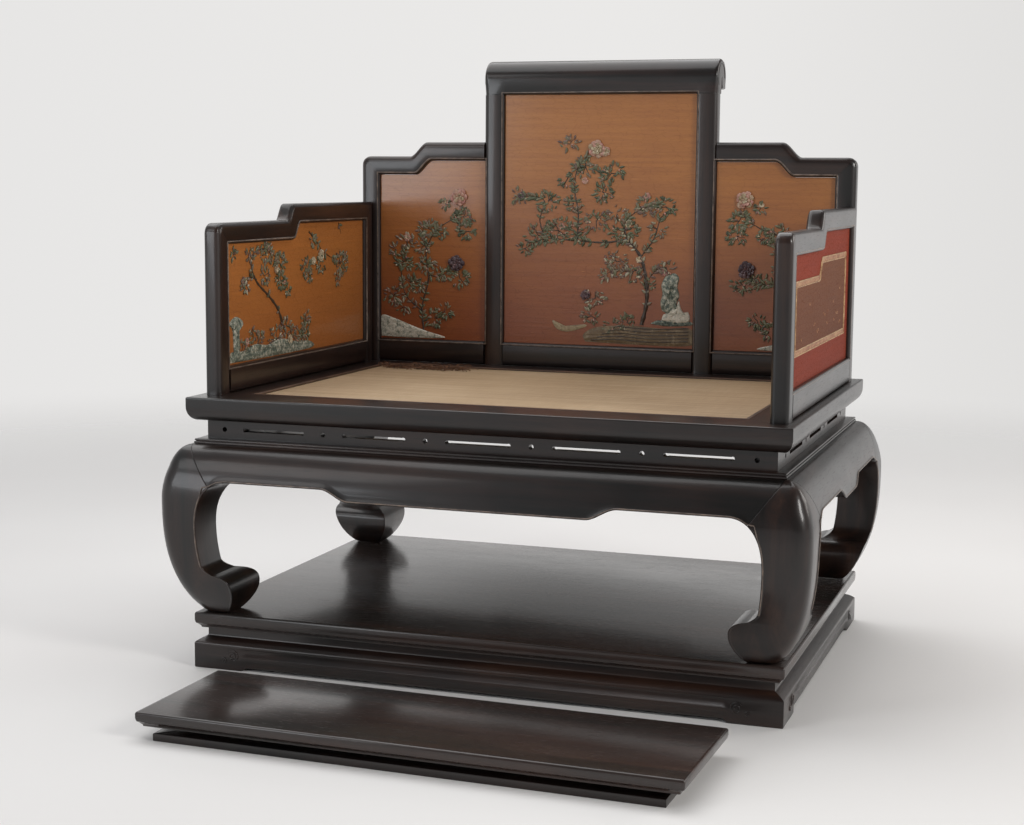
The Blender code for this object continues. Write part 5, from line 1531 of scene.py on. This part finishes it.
paper = Finish("pale_studio_paper")
paper_tone = paper.noise(paper.place, 0.8, 2.0, 0.5)
paper.give(paper.ramp(paper_tone, (0.3, (0.80, 0.785, 0.775)), (0.7, (0.84, 0.83, 0.82))), 0.9)
distance_out = paper.node("ShaderNodeVectorMath", {"operation": "LENGTH"}, {0: paper.place}, "Value")
clear = paper.node("ShaderNodeBsdfTransparent", {}, {})
faded = paper.node("ShaderNodeMixShader", {}, {0: distance_out.rising(1.6, 5.2),
                                               1: Reading(paper, paper.shader.outputs[0]), 2: clear})
paper.tree.links.new(paper.tree.nodes["Material Output"].inputs["Surface"], faded.socket)
disc = bmesh.new()
bmesh.ops.create_circle(disc, cap_ends=True, segments=96, radius=9.0)
mesh = bpy.data.meshes.new("studio_floor")
disc.to_mesh(mesh)
disc.free()
mesh.materials.append(paper.material)
floor = bpy.data.objects.new("studio_floor", mesh)
bpy.context.scene.collection.objects.link(floor)


def soft_light(name, place, aim, size, power, colour=(1.0, 1.0, 1.0), lean=0.0):
    """A broad lamp behind a cloth, pointed at a place."""
    lamp = bpy.data.lights.new(name, "AREA")
    lamp.shape = "RECTANGLE"
    lamp.size, lamp.size_y = size
    lamp.energy = power
    lamp.color = colour
    made = bpy.data.objects.new(name, lamp)
    made.location = place
    made.rotation_euler = (Vector(aim) - Vector(place)).to_track_quat("-Z", "Y").to_euler()
    made.rotation_euler.rotate_axis("Z", math.radians(lean))
    bpy.context.scene.collection.objects.link(made)


soft_light("overhead_light", (-0.6, 0.9, 3.4), (0.0, 0.2, 0.3), (4.4, 3.3), 94)
soft_light("front_left_light", (-2.4, -3.2, 2.9), (-0.2, 0.2, 1.0), (1.5, 1.3), 15)
soft_light("window_light", (-2.45, -3.4, 1.22), (-0.3, 0.3, 0.95), (1.30, 1.05), 21,
           (0.93, 0.96, 1.0), -17)
soft_light("back_right_light", (3.6, 2.6, 2.0), (1.4, 0.6, 0.0), (2.2, 1.6), 34, (1.0, 0.965, 0.92))
soft_light("right_light", (3.3, -1.5, 2.3), (-0.2, 0.2, 0.8), (0.9, 1.2), 56, (1.0, 0.98, 0.95))

world = bpy.data.worlds.new("studio_air")
world.use_nodes = True
air = Bench(world.node_tree)
toward = air.node("ShaderNodeTexCoord", {}, {}, "Generated")
across, ahead, above = (air.node("ShaderNodeSeparateXYZ", {}, {0: toward}, axis) for axis in "XYZ")
low_down, behind = 1 - above.rising(0.06, 0.20), 1 - ahead.rising(-0.2, 0.5)
paper_glow = air.node("ShaderNodeValToRGB", {"stops": (
    (0.0, (0.24, 0.24, 0.25)), (0.35, (0.34, 0.34, 0.35)), (0.75, (0.74, 0.735, 0.735)),
    (1.0, (0.832, 0.822, 0.810)))}, {0: ahead * 0.5 + 0.5 + low_down * 0.62 * behind})
beyond = above.rising(0.095, 0.17) * (1 - (across * -1).rising(0.28, 0.48) * 1.35) * 0.60
shade = (1 - beyond) * (1 - across.rising(-0.30, 0.02) * 0.11)
dimmed = air.node("ShaderNodeCombineColor", {}, {0: shade, 1: shade, 2: shade})
glow = air.node("ShaderNodeMix", {"data_type": "RGBA", "blend_type": "MULTIPLY"},
                {0: 1.0, 6: paper_glow, 7: dimmed}, 2)
world.node_tree.links.new(world.node_tree.nodes["Background"].inputs["Color"], glow.socket)
bpy.context.scene.world = world
bpy.context.scene.view_settings.view_transform = "Standard"

lens = bpy.data.cameras.new("photograph_view")
lens.sensor_width = 36.0
lens.lens = 62.9497
lens.shift_x, lens.shift_y = -0.004068, 0.001602
camera = bpy.data.objects.new("photograph_view", lens)
camera.matrix_world = Matrix((
    (0.945689, -0.049214, 0.321324, 1.16559), (0.324989, 0.120875, -0.937961, -3.363569),
    (0.007321, 0.991447, 0.130304, 0.992919), (0.0, 0.0, 0.0, 1.0)))
bpy.context.scene.collection.objects.link(camera)
bpy.context.scene.camera = camera
